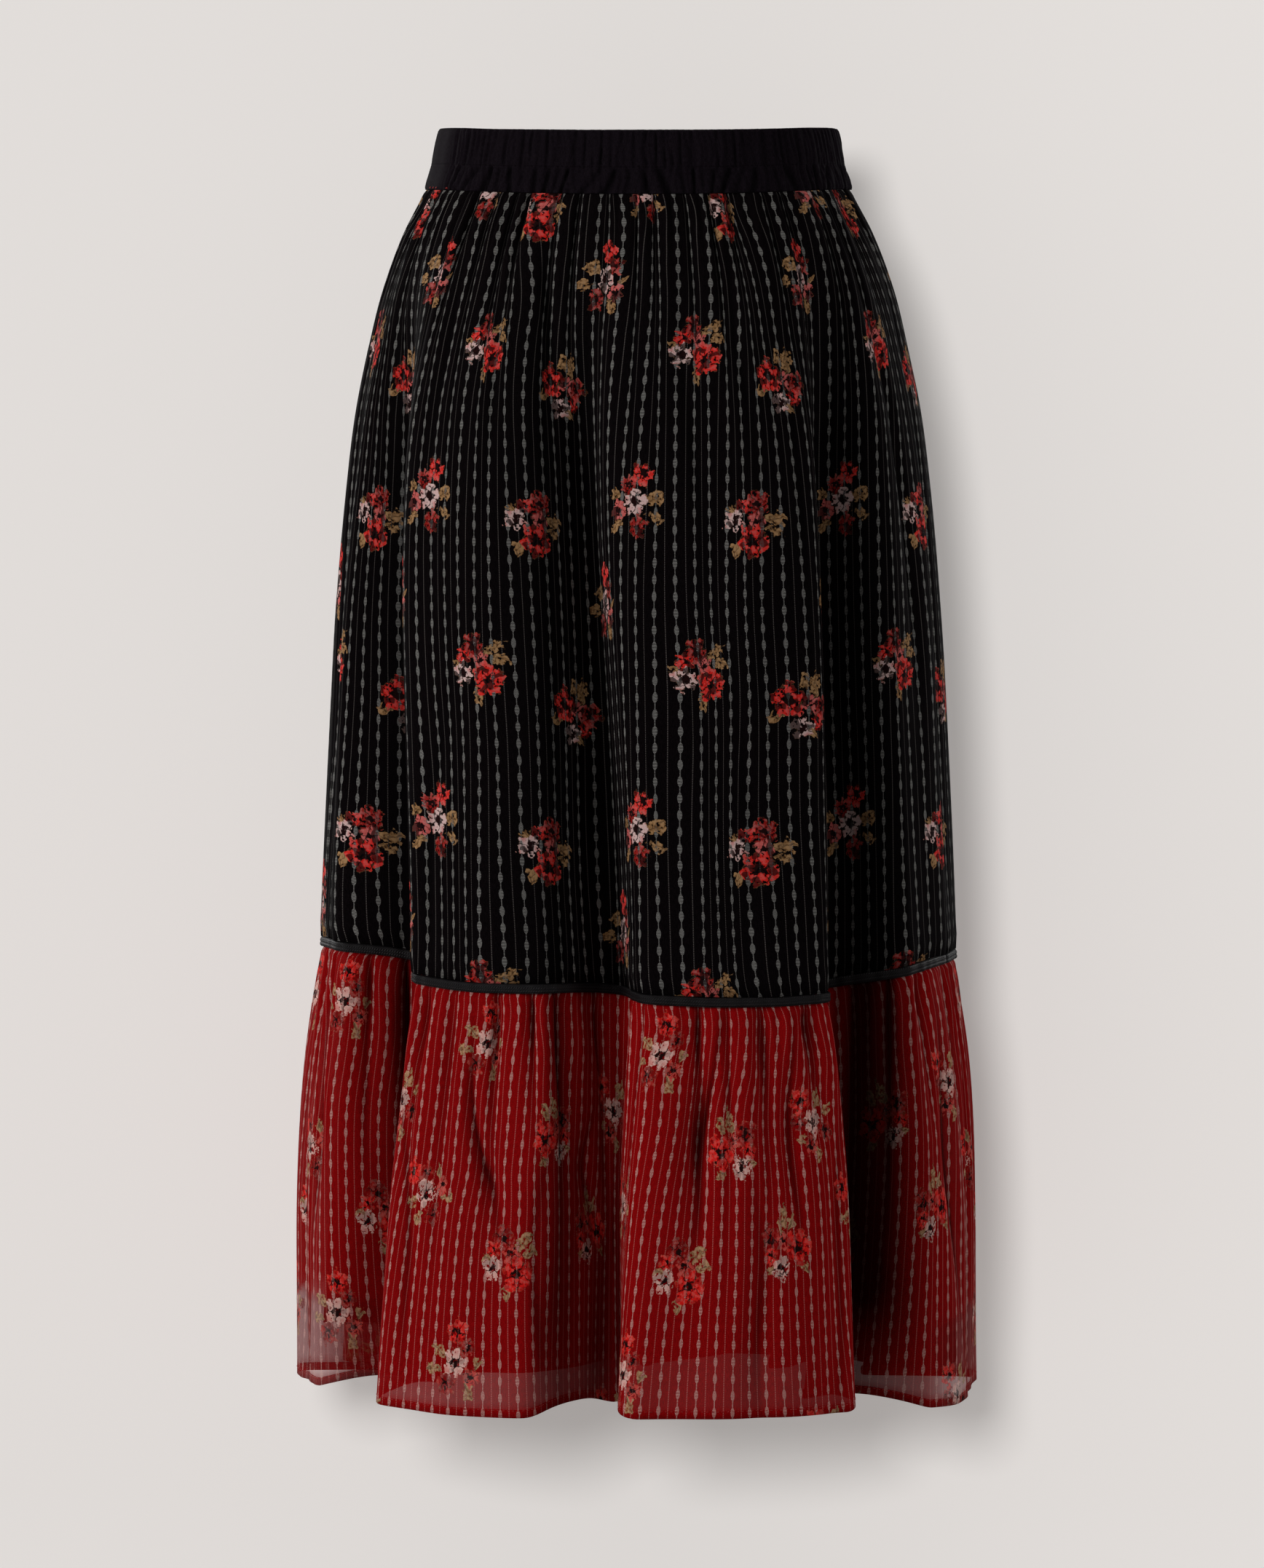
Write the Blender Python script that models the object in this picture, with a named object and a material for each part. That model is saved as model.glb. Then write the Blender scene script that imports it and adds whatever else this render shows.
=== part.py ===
"""A midi skirt, hanging as it is worn and hollow inside.

An elastic waistband, a gathered body, a narrow tape over the joining seam, a gathered flounce
and a lining, each a front and a back half that meet at the side seams. Every wall comes from
one section: an oval that widens down the skirt, cut in by eight valleys, with smaller gathers.
Front is -Y, the wearer's left is +X, up is +Z. The origin is the middle of the waist opening.
Lengths are metres and azimuths are degrees from the front, growing towards +X.
"""

import math
from collections import namedtuple

import bpy
import numpy as np

SEAM_GAP = 0.0003
CLOTH_WALL = 0.0016
BAND_WALL = 0.0030
TAPE_WALL = 0.0022
TAPE_PROUD = 0.0006
TAPE_HEIGHT = 0.0060
LINING_WALL = 0.0012
COLUMNS_PER_GATHER = 4
LINING_COLUMNS_PER_FOLD = 16
TAPE_COLUMNS_PER_FOLD = 14
ARC_STEPS = 80

# The oval round the fold crests, at heights down the skirt.
Section = namedtuple("Section", "height half_width front back")
SECTIONS = (
    Section(-0.8100, 0.2200, 0.1930, 0.1900),
    Section(-0.7480, 0.2184, 0.1905, 0.1880),
    Section(-0.6725, 0.2155, 0.1860, 0.1840),
    Section(-0.5970, 0.2112, 0.1810, 0.1790),
    Section(-0.5210, 0.2062, 0.1750, 0.1740),
    Section(-0.4455, 0.2017, 0.1700, 0.1700),
    Section(-0.3700, 0.1965, 0.1640, 0.1650),
    Section(-0.2940, 0.1910, 0.1580, 0.1600),
    Section(-0.2180, 0.1842, 0.1510, 0.1530),
    Section(-0.1620, 0.1776, 0.1450, 0.1460),
    Section(-0.1240, 0.1708, 0.1385, 0.1385),
    Section(-0.0860, 0.1630, 0.1300, 0.1285),
    Section(-0.0480, 0.1506, 0.1180, 0.1145),
    Section(-0.0200, 0.1380, 0.1060, 0.1010),
    Section(0.0195, 0.1287, 0.0970, 0.0920),
)

# Where the pieces' edges run, round the skirt.
Edge = namedtuple("Edge", "azimuth top waist seam hem lining_hem")
EDGES = (
    Edge(-135.0, 0.0195, -0.0200, -0.518, -0.798, -0.766),
    Edge(-90.0, 0.0193, -0.0200, -0.510, -0.796, -0.757),
    Edge(-62.0, 0.0165, -0.0235, -0.513, -0.789, -0.750),
    Edge(-45.0, 0.0140, -0.0262, -0.525, -0.791, -0.778),
    Edge(-30.0, 0.0125, -0.0282, -0.531, -0.794, -0.769),
    Edge(-10.0, 0.0113, -0.0298, -0.532, -0.794, -0.768),
    Edge(5.0, 0.0113, -0.0300, -0.538, -0.794, -0.762),
    Edge(20.0, 0.0118, -0.0292, -0.540, -0.794, -0.753),
    Edge(38.0, 0.0135, -0.0270, -0.537, -0.795, -0.758),
    Edge(60.0, 0.0165, -0.0235, -0.523, -0.799, -0.775),
    Edge(90.0, 0.0193, -0.0200, -0.518, -0.801, -0.780),
    Edge(135.0, 0.0195, -0.0200, -0.524, -0.800, -0.772),
    Edge(180.0, 0.0190, -0.0205, -0.526, -0.798, -0.766),
)

# A row is a valley and the fold on its right. waist, seam and hem say where the valley lies at
# those heights, left and right how wide its sides are, hip_in, seam_in and hem_in how deep it is.
# over_left and over_right are how far a side leans over the valley, crown how far the fold
# swells out at the hem, and the last columns count gathers between this valley and the next.
Fold = namedtuple(
    "Fold",
    "name waist seam hem left right hip_in seam_in hem_in over_left over_right crown band body flounce",
)
FOLDS = (
    Fold("left_front", -64, -54, -57, 17, 15, 0.030, 0.040, 0.076, 0.004, 0.010, 0.013, 7, 8, 8),
    Fold("middle", -12, -5, -6, 14, 10, 0.026, 0.040, 0.082, 0.005, 0.017, 0.010, 7, 8, 8),
    Fold("right_front", 44, 44, 46, 13, 14, 0.028, 0.042, 0.078, 0.012, 0.006, 0.0, 8, 6, 8),
    Fold("right_back", 108, 107, 108, 15, 15, 0.022, 0.034, 0.066, 0.004, 0.010, 0.006, 5, 5, 6),
    Fold("back_right", 143, 142, 144, 14, 13, 0.026, 0.038, 0.074, 0.011, 0.004, 0.009, 5, 5, 6),
    Fold("back_middle", 177, 179, 178, 13, 14, 0.023, 0.036, 0.080, 0.004, 0.012, 0.006, 5, 5, 6),
    Fold("back_left", 214, 216, 215, 15, 13, 0.027, 0.040, 0.070, 0.009, 0.005, 0.009, 5, 5, 6),
    Fold("left_back", 253, 251, 252, 14, 16, 0.021, 0.033, 0.068, 0.005, 0.009, 0.0, 8, 6, 8),
)
LEFT_SIDE_FOLD = 7
RIGHT_SIDE_FOLD = 2
FOLD_START = -0.035
HIP = -0.200
SEAM = -0.530
HEM = -0.800
AZIMUTH_TOP = -0.120
LEAN_AT = 0.85
LEAN_REACH = 0.70

# How a gather's trough deepens and fades with the distance below its seam.
Trough = namedtuple("Trough", "below depth")
BODY_TROUGHS = (Trough(0.0, 0.0030), Trough(0.022, 0.0056), Trough(0.060, 0.0042), Trough(0.150, 0.0))
FLOUNCE_TROUGHS = (Trough(0.0, 0.0046), Trough(0.016, 0.0090), Trough(0.070, 0.0060), Trough(0.170, 0.0))
BAND_TROUGH = 0.0012

# Steady but uneven values from gather to gather, as shares of the sizes above.
Spread = namedtuple("Spread", "least most step")
GATHER_REACH = Spread(0.65, 1.25, 0.618)
GATHER_DEPTH = Spread(0.60, 1.00, 0.381)
BAND_DEPTH = Spread(0.55, 1.00, 0.618)

# The stretch of band with no gathers, between two azimuths.
SMOOTH_BAND_FROM = -92.0
SMOOTH_BAND_TO = -64.0

# How far inside the outer cloth the lining hangs at fold crests and valley floors, and how many
# degrees wider than the outer cloth's its valleys are on each side.
Inset = namedtuple("Inset", "height crest floor widen")
LINING_INSETS = (
    Inset(-0.800, 0.0130, 0.0070, 3.5),
    Inset(-0.700, 0.0150, 0.0090, 4.0),
    Inset(-0.620, 0.0180, 0.0140, 5.0),
    Inset(-0.550, 0.0190, 0.0150, 5.0),
    Inset(-0.500, 0.0150, 0.0080, 4.0),
    Inset(-0.200, 0.0150, 0.0070, 3.0),
    Inset(-0.120, 0.0140, 0.0090, 2.0),
    Inset(-0.060, 0.0120, 0.0100, 1.0),
    Inset(-0.036, 0.0095, 0.0095, 0.0),
    Inset(-0.008, 0.0034, 0.0034, 0.0),
)
LINING_RISE = 0.012

# How far down each piece its rings lie, as a share of the way from its top edge to its bottom edge.
BAND_RINGS = (0.0, 0.58, 1.0)
BODY_RINGS = (0.0, 0.045, 0.115, 0.23, 0.42, 0.70, 1.0)
TAPE_RINGS = (0.0, 1.0)
FLOUNCE_RINGS = (0.0, 0.07, 0.25, 0.50, 0.76, 1.0)
LINING_RINGS = (0.0, 0.035, 0.14, 0.40, 0.70, 1.0)

Finish = namedtuple("Finish", "name colour roughness")
BLACK_CREPE = Finish("black_crepe", (0.006, 0.005, 0.006, 1.0), 0.75)
BLACK_PRINT = Finish("black_print_cloth", (0.014, 0.010, 0.011, 1.0), 0.65)
BLACK_TAPE = Finish("black_tape", (0.004, 0.003, 0.004, 1.0), 0.55)
RED_PRINT = Finish("red_print_cloth", (0.170, 0.010, 0.012, 1.0), 0.60)
DARK_LINING = Finish("dark_lining", (0.012, 0.006, 0.007, 1.0), 0.50)


def column(rows, name):
    """One named column of a table, as an array."""
    return np.array([getattr(row, name) for row in rows], dtype=float)


def flowing(at, knots, values):
    """A smooth curve through the values at the rising knots, read at one or many places."""
    at = np.clip(at, knots[0], knots[-1])
    slopes = np.gradient(values, knots)
    piece = np.clip(np.searchsorted(knots, at, side="right") - 1, 0, len(knots) - 2)
    width = knots[piece + 1] - knots[piece]
    t = (at - knots[piece]) / width
    rise = t * t * (3.0 - 2.0 * t)
    start = values[piece] * (1.0 - rise)
    end = values[piece + 1] * rise
    lean_out = slopes[piece] * width * t * (1.0 - t) ** 2
    lean_in = slopes[piece + 1] * width * t * t * (1.0 - t)
    return start + end + lean_out - lean_in


def edge_height(name, azimuth):
    """The height of a named edge at an azimuth, the same again after a full turn."""
    azimuths = column(EDGES, "azimuth")
    heights = column(EDGES, name)
    knots = np.concatenate((azimuths - 360.0, azimuths, azimuths + 360.0))
    return flowing(azimuth, knots, np.tile(heights, 3))


def swell(t):
    """A soft bump, 1 at 0 and flat at 0 from 1 and -1 outward."""
    return np.where(np.abs(t) < 1.0, np.cos(0.5 * math.pi * np.clip(t, -1.0, 1.0)) ** 2, 0.0)


def off_centre(azimuth, centre):
    """Degrees from the centre to the azimuth, the short way round."""
    return (azimuth - centre + 180.0) % 360.0 - 180.0


def valley_azimuth(fold, height):
    """Where a valley lies at a height."""
    knots = np.array((HEM, SEAM, AZIMUTH_TOP))
    return flowing(height, knots, np.array((fold.hem, fold.seam, fold.waist), dtype=float))


def valley_depth(fold, height):
    """How deep a valley is at a height."""
    knots = np.array((HEM, SEAM, HIP, FOLD_START, 0.0))
    depths = np.array((fold.hem_in, fold.seam_in, fold.hip_in, 0.0, 0.0))
    return np.maximum(flowing(height, knots, depths), 0.0)


def folded(azimuth, height, crest_inset=0.0, floor_inset=0.0, widen=0.0):
    """Points x, y of the large form at azimuths and heights.

    The insets move crests and valley floors inward and widen adds degrees to each valley side,
    for a layer inside the outer cloth.
    """
    heights = column(SECTIONS, "height")
    across = flowing(height, heights, column(SECTIONS, "half_width")) - crest_inset
    front = flowing(height, heights, column(SECTIONS, "front"))
    back = flowing(height, heights, column(SECTIONS, "back"))
    turn = np.radians(azimuth)
    along = np.where(np.cos(turn) > 0.0, front, back) - crest_inset
    normal = np.stack((np.sin(turn) / across, -np.cos(turn) / along))
    normal = normal / np.hypot(normal[0], normal[1])
    tangent = np.stack((-normal[1], normal[0]))
    out = np.zeros_like(turn)
    slide = np.zeros_like(turn)
    for number, fold in enumerate(FOLDS):
        after = FOLDS[(number + 1) % len(FOLDS)]
        centre = valley_azimuth(fold, height)
        offset = off_centre(azimuth, centre)
        t = offset / (np.where(offset < 0.0, fold.left, fold.right) + widen)
        depth = valley_depth(fold, height)
        share = depth / fold.hem_in
        sunk = np.maximum(depth - crest_inset + floor_inset, 0.0)
        out = out - sunk * swell(t)
        lean = np.where(t < 0.0, fold.over_left, -fold.over_right) * share
        slide = slide + lean * swell((np.abs(t) - LEAN_AT) / LEAN_REACH)
        span = off_centre(valley_azimuth(after, height), centre) % 360.0
        out = out + fold.crown * share * swell(off_centre(azimuth, centre + 0.5 * span) / (0.5 * span))
    x = across * np.sin(turn) + normal[0] * out + tangent[0] * slide
    y = -along * np.cos(turn) + normal[1] * out + tangent[1] * slide
    return x, y


def column_azimuths(height, counts, insets):
    """Azimuths of the columns of one ring, evenly spaced along the cloth between each two valleys."""
    azimuths = []
    for number, fold in enumerate(FOLDS):
        after = FOLDS[(number + 1) % len(FOLDS)]
        start = float(valley_azimuth(fold, height))
        span = off_centre(float(valley_azimuth(after, height)), start) % 360.0
        steps = start + np.linspace(0.0, span, ARC_STEPS)
        x, y = folded(steps, np.full(ARC_STEPS, height), *insets)
        run = np.concatenate(((0.0,), np.cumsum(np.hypot(np.diff(x), np.diff(y)))))
        places = np.linspace(0.0, run[-1], counts[number] + 1)[:-1]
        azimuths.append(np.interp(places, run, steps))
    return np.concatenate(azimuths)


def lining_insets(height):
    """The lining's crest inset, floor inset and widening at a height."""
    heights = column(LINING_INSETS, "height")
    return [flowing(height, heights, column(LINING_INSETS, name)) for name in Inset._fields[1:]]


def uneven(number, spread):
    """A value between the spread's least and most for each number, the same on each run."""
    return spread.least + (spread.most - spread.least) * ((number * spread.step) % 1.0)


def gather_wave(count):
    """How far into its gather each column lies, from 0 at a crest to 1 at the trough."""
    turn = 2.0 * math.pi * (np.arange(count) % COLUMNS_PER_GATHER) / COLUMNS_PER_GATHER
    return 0.5 - 0.5 * np.cos(turn)


def outward(x, y):
    """Level outward directions of a closed ring of points that runs from the front towards +X."""
    along_x = np.roll(x, -1, axis=-1) - np.roll(x, 1, axis=-1)
    along_y = np.roll(y, -1, axis=-1) - np.roll(y, 1, axis=-1)
    length = np.hypot(along_x, along_y)
    return along_y / length, -along_x / length


def rings_between(top, bottom, shares, counts, insets_at=None):
    """Rings of the large form between two edge functions: x, y, z and azimuths, a row per ring."""
    rows = []
    mean_azimuths = column(EDGES, "azimuth")
    for share in shares:
        level = float(np.mean(top(mean_azimuths) * (1.0 - share) + bottom(mean_azimuths) * share))
        insets = insets_at(level) if insets_at else ()
        azimuth = column_azimuths(level, counts, insets)
        height = top(azimuth) * (1.0 - share) + bottom(azimuth) * share
        if insets_at:
            insets = insets_at(height)
        x, y = folded(azimuth, height, *insets)
        rows.append((x, y, height, azimuth))
    return tuple(np.stack(part) for part in zip(*rows))


def gather_troughs(count, below, troughs):
    """How far each column is drawn in by its gather, at distances below the seam."""
    gather = np.arange(count) // COLUMNS_PER_GATHER
    near = below / uneven(gather, GATHER_REACH)
    depth = np.interp(near, column(troughs, "below"), column(troughs, "depth"))
    return gather_wave(count) * uneven(gather, GATHER_DEPTH) * depth


def wall_points(rings, drawn_in, wall, proud=0.0):
    """Outer and inner points of a wall, as arrays of ring, column and coordinate."""
    x, y, z = rings[:3]
    out_x, out_y = outward(x, y)
    x = x + out_x * (proud - drawn_in)
    y = y + out_y * (proud - drawn_in)
    outer = np.stack((x, y, z), axis=-1)
    out_x, out_y = outward(x, y)
    inner = np.stack((x - out_x * wall, y - out_y * wall, z), axis=-1)
    return outer, inner


def half_columns(counts, front):
    """Column numbers of the front or back half, from one side seam to the other."""
    starts = np.concatenate(((0,), np.cumsum(counts)))
    total = int(starts[-1])
    left = int(starts[LEFT_SIDE_FOLD] + counts[LEFT_SIDE_FOLD] // 2)
    right = int(starts[RIGHT_SIDE_FOLD] + counts[RIGHT_SIDE_FOLD] // 2)
    if front:
        return [number % total for number in range(left, right + total + 1)]
    return list(range(right, left + 1))


def trimmed(points):
    """The points with both end columns moved in by half of the gap at a seam."""
    points = points.copy()
    for end, beside in ((0, 1), (-1, -2)):
        run = points[:, beside] - points[:, end]
        length = np.linalg.norm(run, axis=-1, keepdims=True)
        points[:, end] += run / length * (0.5 * SEAM_GAP)
    return points


def add_wall(name, outer, inner, finish):
    """One closed wall between an outer and an inner grid of points."""
    rings, columns = outer.shape[:2]
    vertices = np.concatenate((outer.reshape(-1, 3), inner.reshape(-1, 3)))
    inside = rings * columns
    faces = []
    for ring in range(rings - 1):
        for place in range(columns - 1):
            a = ring * columns + place
            b = a + 1
            c = a + columns + 1
            d = a + columns
            faces.append((a, d, c, b))
            faces.append((inside + a, inside + b, inside + c, inside + d))
    for place in range(columns - 1):
        top = place
        low = (rings - 1) * columns + place
        faces.append((top, top + 1, inside + top + 1, inside + top))
        faces.append((low, inside + low, inside + low + 1, low + 1))
    for ring in range(rings - 1):
        start = ring * columns
        end = start + columns - 1
        faces.append((start, inside + start, inside + start + columns, start + columns))
        faces.append((end, end + columns, inside + end + columns, inside + end))
    mesh = bpy.data.meshes.new(name)
    mesh.from_pydata(vertices.tolist(), [], faces)
    mesh.validate()
    mesh.materials.append(finish)
    built = bpy.data.objects.new(name, mesh)
    bpy.context.scene.collection.objects.link(built)
    return built


def add_halves(name, outer, inner, counts, finish):
    """The front and back halves of a piece that runs all round."""
    for half, front in (("front", True), ("back", False)):
        places = half_columns(counts, front)
        add_wall(name + "_" + half, trimmed(outer[:, places]), trimmed(inner[:, places]), finish)


def material(finish):
    """A plain material for a piece."""
    made = bpy.data.materials.new(finish.name)
    made.use_nodes = True
    shader = made.node_tree.nodes["Principled BSDF"]
    shader.inputs["Base Color"].default_value = finish.colour
    shader.inputs["Roughness"].default_value = finish.roughness
    shader.inputs["Metallic"].default_value = 0.0
    return made


def gather_counts(name):
    """Columns between each two valleys for the gathers of a piece."""
    return [int(getattr(fold, name)) * COLUMNS_PER_GATHER for fold in FOLDS]


def build_waistband():
    """The elastic band, finely gathered but for a smooth stretch at one side."""
    counts = gather_counts("band")
    rings = rings_between(
        lambda azimuth: edge_height("top", azimuth),
        lambda azimuth: edge_height("waist", azimuth),
        BAND_RINGS,
        counts,
    )
    gather = np.arange(sum(counts)) // COLUMNS_PER_GATHER
    gathered = gather_wave(sum(counts)) * uneven(gather, BAND_DEPTH)
    turned = off_centre(rings[3], 0.0)
    smooth = (turned > SMOOTH_BAND_FROM) & (turned < SMOOTH_BAND_TO)
    drawn_in = np.where(smooth, 0.0, BAND_TROUGH * gathered)
    outer, _ = wall_points(rings, drawn_in, BAND_WALL)
    _, inner = wall_points(rings, 0.0, BAND_WALL)
    add_halves("waistband", outer, inner, counts, material(BLACK_CREPE))


def build_body():
    """The printed body, gathered into the waistband."""
    counts = gather_counts("body")
    rings = rings_between(
        lambda azimuth: edge_height("waist", azimuth) - SEAM_GAP,
        lambda azimuth: edge_height("seam", azimuth) + TAPE_HEIGHT + SEAM_GAP,
        BODY_RINGS,
        counts,
    )
    below = edge_height("waist", rings[3]) - rings[2]
    drawn_in = gather_troughs(sum(counts), below, BODY_TROUGHS)
    outer, inner = wall_points(rings, drawn_in, CLOTH_WALL)
    add_halves("skirt", outer, inner, counts, material(BLACK_PRINT))


def build_tape():
    """The narrow tape over the seam between the body and the flounce."""
    counts = [TAPE_COLUMNS_PER_FOLD] * len(FOLDS)
    rings = rings_between(
        lambda azimuth: edge_height("seam", azimuth) + TAPE_HEIGHT,
        lambda azimuth: edge_height("seam", azimuth),
        TAPE_RINGS,
        counts,
    )
    outer, inner = wall_points(rings, 0.0, TAPE_WALL, TAPE_PROUD)
    add_halves("tape", outer, inner, counts, material(BLACK_TAPE))


def build_flounce():
    """The wide flounce, gathered under the tape and opening into deep folds."""
    counts = gather_counts("flounce")
    rings = rings_between(
        lambda azimuth: edge_height("seam", azimuth) - SEAM_GAP,
        lambda azimuth: edge_height("hem", azimuth),
        FLOUNCE_RINGS,
        counts,
    )
    below = edge_height("seam", rings[3]) - rings[2]
    drawn_in = gather_troughs(sum(counts), below, FLOUNCE_TROUGHS)
    outer, inner = wall_points(rings, drawn_in, CLOTH_WALL)
    add_halves("flounce", outer, inner, counts, material(RED_PRINT))


def build_lining():
    """The lining, sewn in behind the waistband and hanging free to above the hem."""
    counts = [LINING_COLUMNS_PER_FOLD] * len(FOLDS)
    rings = rings_between(
        lambda azimuth: edge_height("waist", azimuth) + LINING_RISE,
        lambda azimuth: edge_height("lining_hem", azimuth),
        LINING_RINGS,
        counts,
        lining_insets,
    )
    outer, inner = wall_points(rings, 0.0, LINING_WALL)
    add_halves("lining", outer, inner, counts, material(DARK_LINING))


def main():
    """Clears the scene and builds the skirt."""
    for old in list(bpy.data.objects):
        bpy.data.objects.remove(old)
    build_waistband()
    build_body()
    build_tape()
    build_flounce()
    build_lining()


main()
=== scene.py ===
"""The looks of a gathered midi skirt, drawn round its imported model.

A crepe waistband on elastic, a black body with bead stripes and printed bunches of flowers, a
narrow tape, a sheer red flounce and a dark lining. Every cloth follows the large form of its
solid, with finer gathers, ripples and creases. Front is -Y, the wearer's left is +X, up is +Z.
Lengths are metres and azimuths are degrees from the front, growing towards +X.
"""

import logging
import math
from dataclasses import dataclass, field
from enum import Enum
from typing import Callable, NamedTuple, Optional, Sequence, Union

import bpy
import numpy as np
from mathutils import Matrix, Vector


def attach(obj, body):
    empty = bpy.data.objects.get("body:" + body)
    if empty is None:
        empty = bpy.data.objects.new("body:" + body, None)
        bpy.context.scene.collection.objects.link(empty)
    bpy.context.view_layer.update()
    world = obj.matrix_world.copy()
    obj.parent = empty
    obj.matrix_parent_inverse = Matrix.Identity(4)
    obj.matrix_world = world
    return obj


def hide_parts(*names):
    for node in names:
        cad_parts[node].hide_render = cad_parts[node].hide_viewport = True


LOG = logging.getLogger("skirt")
MM = 0.001
ROOT = "root"

Curve = Callable[[np.ndarray], np.ndarray]
Value = Union[float, int, bpy.types.NodeSocket]
Triple = Union[Sequence[float], bpy.types.NodeSocket]
Colour = tuple[float, float, float]
Fades = tuple[tuple[float, float], ...]
Step = tuple[float, float]
Span = tuple[Step, Step]

TAPE_HEIGHT = 0.0060
CREASE_SWAY = 0.8
CREASE_DEPTH = 0.8
# How deep a crease must be for its full painted shade, and how narrow that painted shade lies
# beside its trough.
CREASE_PAINTED_SHADE_AT = 0.009
CREASE_PAINTED_SHADE_WIDTH = 0.34
FULL_TURN = 360.0


class Half(Enum):
    """The two halves that each piece is sewn from."""

    FRONT = "front"
    BACK = "back"


class Cloth(Enum):
    """The cloths that creases lie in."""

    BODY = "body"
    FLOUNCE = "flounce"
    LINING = "lining"


class Section(NamedTuple):
    """The oval round the fold crests at one height."""

    height: float
    half_width: float
    front: float
    back: float


class Edge(NamedTuple):
    """How high the pieces' edges run at one azimuth."""

    azimuth: float
    top: float
    waist: float
    seam: float
    hem: float
    lining_hem: float


class Fold(NamedTuple):
    """A valley and the fold on its right, with the gathers between this valley and the next."""

    name: str
    waist: float
    seam: float
    hem: float
    left: float
    right: float
    hip_in: float
    seam_in: float
    hem_in: float
    over_left: float
    over_right: float
    crown: float
    body: int
    flounce: int


class Inset(NamedTuple):
    """How far inside the outer cloth the lining hangs at one height."""

    height: float
    crest: float
    floor: float
    widen: float


class Wave(NamedTuple):
    """One of the waves that add up to an uneven ripple round the skirt."""

    cycles: int
    share: float
    start: float


class Crease(NamedTuple):
    """One crease, a trough from its top to its low end."""

    azimuth_top: float
    height_top: float
    azimuth_low: float
    height_low: float
    width: float
    depth: float


class HollowShade(NamedTuple):
    """A strip of painted shade beside a valley, where one fold lies close under the next."""

    fold: int
    offset: float
    width: float
    # How much painted shade the strip puts on the body and on the flounce.
    body: float
    flounce: float


class Blossom(NamedTuple):
    """One blossom of a printed bunch, in millimetres from the middle of the bunch."""

    right: float
    down: float
    radius: float
    turn: float
    tint: str


class Leaf(NamedTuple):
    """One leaf of a printed bunch, in millimetres from the middle of the bunch."""

    right: float
    down: float
    length: float
    width: float
    turn: float


class Bunch(NamedTuple):
    """Where one bunch of a repeat lies, in millimetres, which kind it is and how it is turned."""

    right: float
    down: float
    kind: float
    turn: float
    mirror: float


SECTIONS = (
    Section(-0.8100, 0.2200, 0.1930, 0.1900),
    Section(-0.7480, 0.2184, 0.1905, 0.1880),
    Section(-0.6725, 0.2155, 0.1860, 0.1840),
    Section(-0.5970, 0.2112, 0.1810, 0.1790),
    Section(-0.5210, 0.2062, 0.1750, 0.1740),
    Section(-0.4455, 0.2017, 0.1700, 0.1700),
    Section(-0.3700, 0.1965, 0.1640, 0.1650),
    Section(-0.2940, 0.1910, 0.1580, 0.1600),
    Section(-0.2180, 0.1842, 0.1510, 0.1530),
    Section(-0.1620, 0.1776, 0.1450, 0.1460),
    Section(-0.1240, 0.1708, 0.1385, 0.1385),
    Section(-0.0860, 0.1630, 0.1300, 0.1285),
    Section(-0.0480, 0.1506, 0.1180, 0.1145),
    Section(-0.0200, 0.1380, 0.1060, 0.1010),
    Section(0.0195, 0.1287, 0.0970, 0.0920),
)

EDGES = (
    Edge(-135.0, 0.0195, -0.0200, -0.518, -0.798, -0.766),
    Edge(-90.0, 0.0193, -0.0200, -0.510, -0.796, -0.757),
    Edge(-62.0, 0.0165, -0.0235, -0.513, -0.789, -0.750),
    Edge(-45.0, 0.0140, -0.0262, -0.525, -0.791, -0.778),
    Edge(-30.0, 0.0125, -0.0282, -0.531, -0.794, -0.769),
    Edge(-10.0, 0.0113, -0.0298, -0.532, -0.794, -0.768),
    Edge(5.0, 0.0113, -0.0300, -0.538, -0.794, -0.762),
    Edge(20.0, 0.0118, -0.0292, -0.540, -0.794, -0.753),
    Edge(38.0, 0.0135, -0.0270, -0.537, -0.795, -0.758),
    Edge(60.0, 0.0165, -0.0235, -0.523, -0.799, -0.775),
    Edge(90.0, 0.0193, -0.0200, -0.518, -0.801, -0.780),
    Edge(135.0, 0.0195, -0.0200, -0.524, -0.800, -0.772),
    Edge(180.0, 0.0190, -0.0205, -0.526, -0.798, -0.766),
)

FOLDS = (
    Fold("left_front", -64, -54, -57, 17, 15, 0.030, 0.040, 0.076, 0.004, 0.010, 0.013, 8, 8),
    Fold("middle", -12, -5, -6, 14, 10, 0.026, 0.040, 0.082, 0.005, 0.017, 0.010, 8, 8),
    Fold("right_front", 44, 44, 46, 13, 14, 0.028, 0.042, 0.078, 0.012, 0.006, 0.0, 6, 8),
    Fold("right_back", 108, 107, 108, 15, 15, 0.022, 0.034, 0.066, 0.004, 0.010, 0.006, 5, 6),
    Fold("back_right", 143, 142, 144, 14, 13, 0.026, 0.038, 0.074, 0.011, 0.004, 0.009, 5, 6),
    Fold("back_middle", 177, 179, 178, 13, 14, 0.023, 0.036, 0.080, 0.004, 0.012, 0.006, 5, 6),
    Fold("back_left", 214, 216, 215, 15, 13, 0.027, 0.040, 0.070, 0.009, 0.005, 0.009, 5, 6),
    Fold("left_back", 253, 251, 252, 14, 16, 0.021, 0.033, 0.068, 0.005, 0.009, 0.0, 6, 8),
)

LINING_INSETS = (
    Inset(-0.800, 0.0130, 0.0070, 3.5),
    Inset(-0.700, 0.0150, 0.0090, 4.0),
    Inset(-0.620, 0.0180, 0.0140, 5.0),
    Inset(-0.550, 0.0190, 0.0150, 5.0),
    Inset(-0.500, 0.0150, 0.0080, 4.0),
    Inset(-0.200, 0.0150, 0.0070, 3.0),
    Inset(-0.120, 0.0140, 0.0090, 2.0),
    Inset(-0.060, 0.0120, 0.0100, 1.0),
    Inset(-0.036, 0.0095, 0.0095, 0.0),
    Inset(-0.008, 0.0034, 0.0034, 0.0),
)


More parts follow.
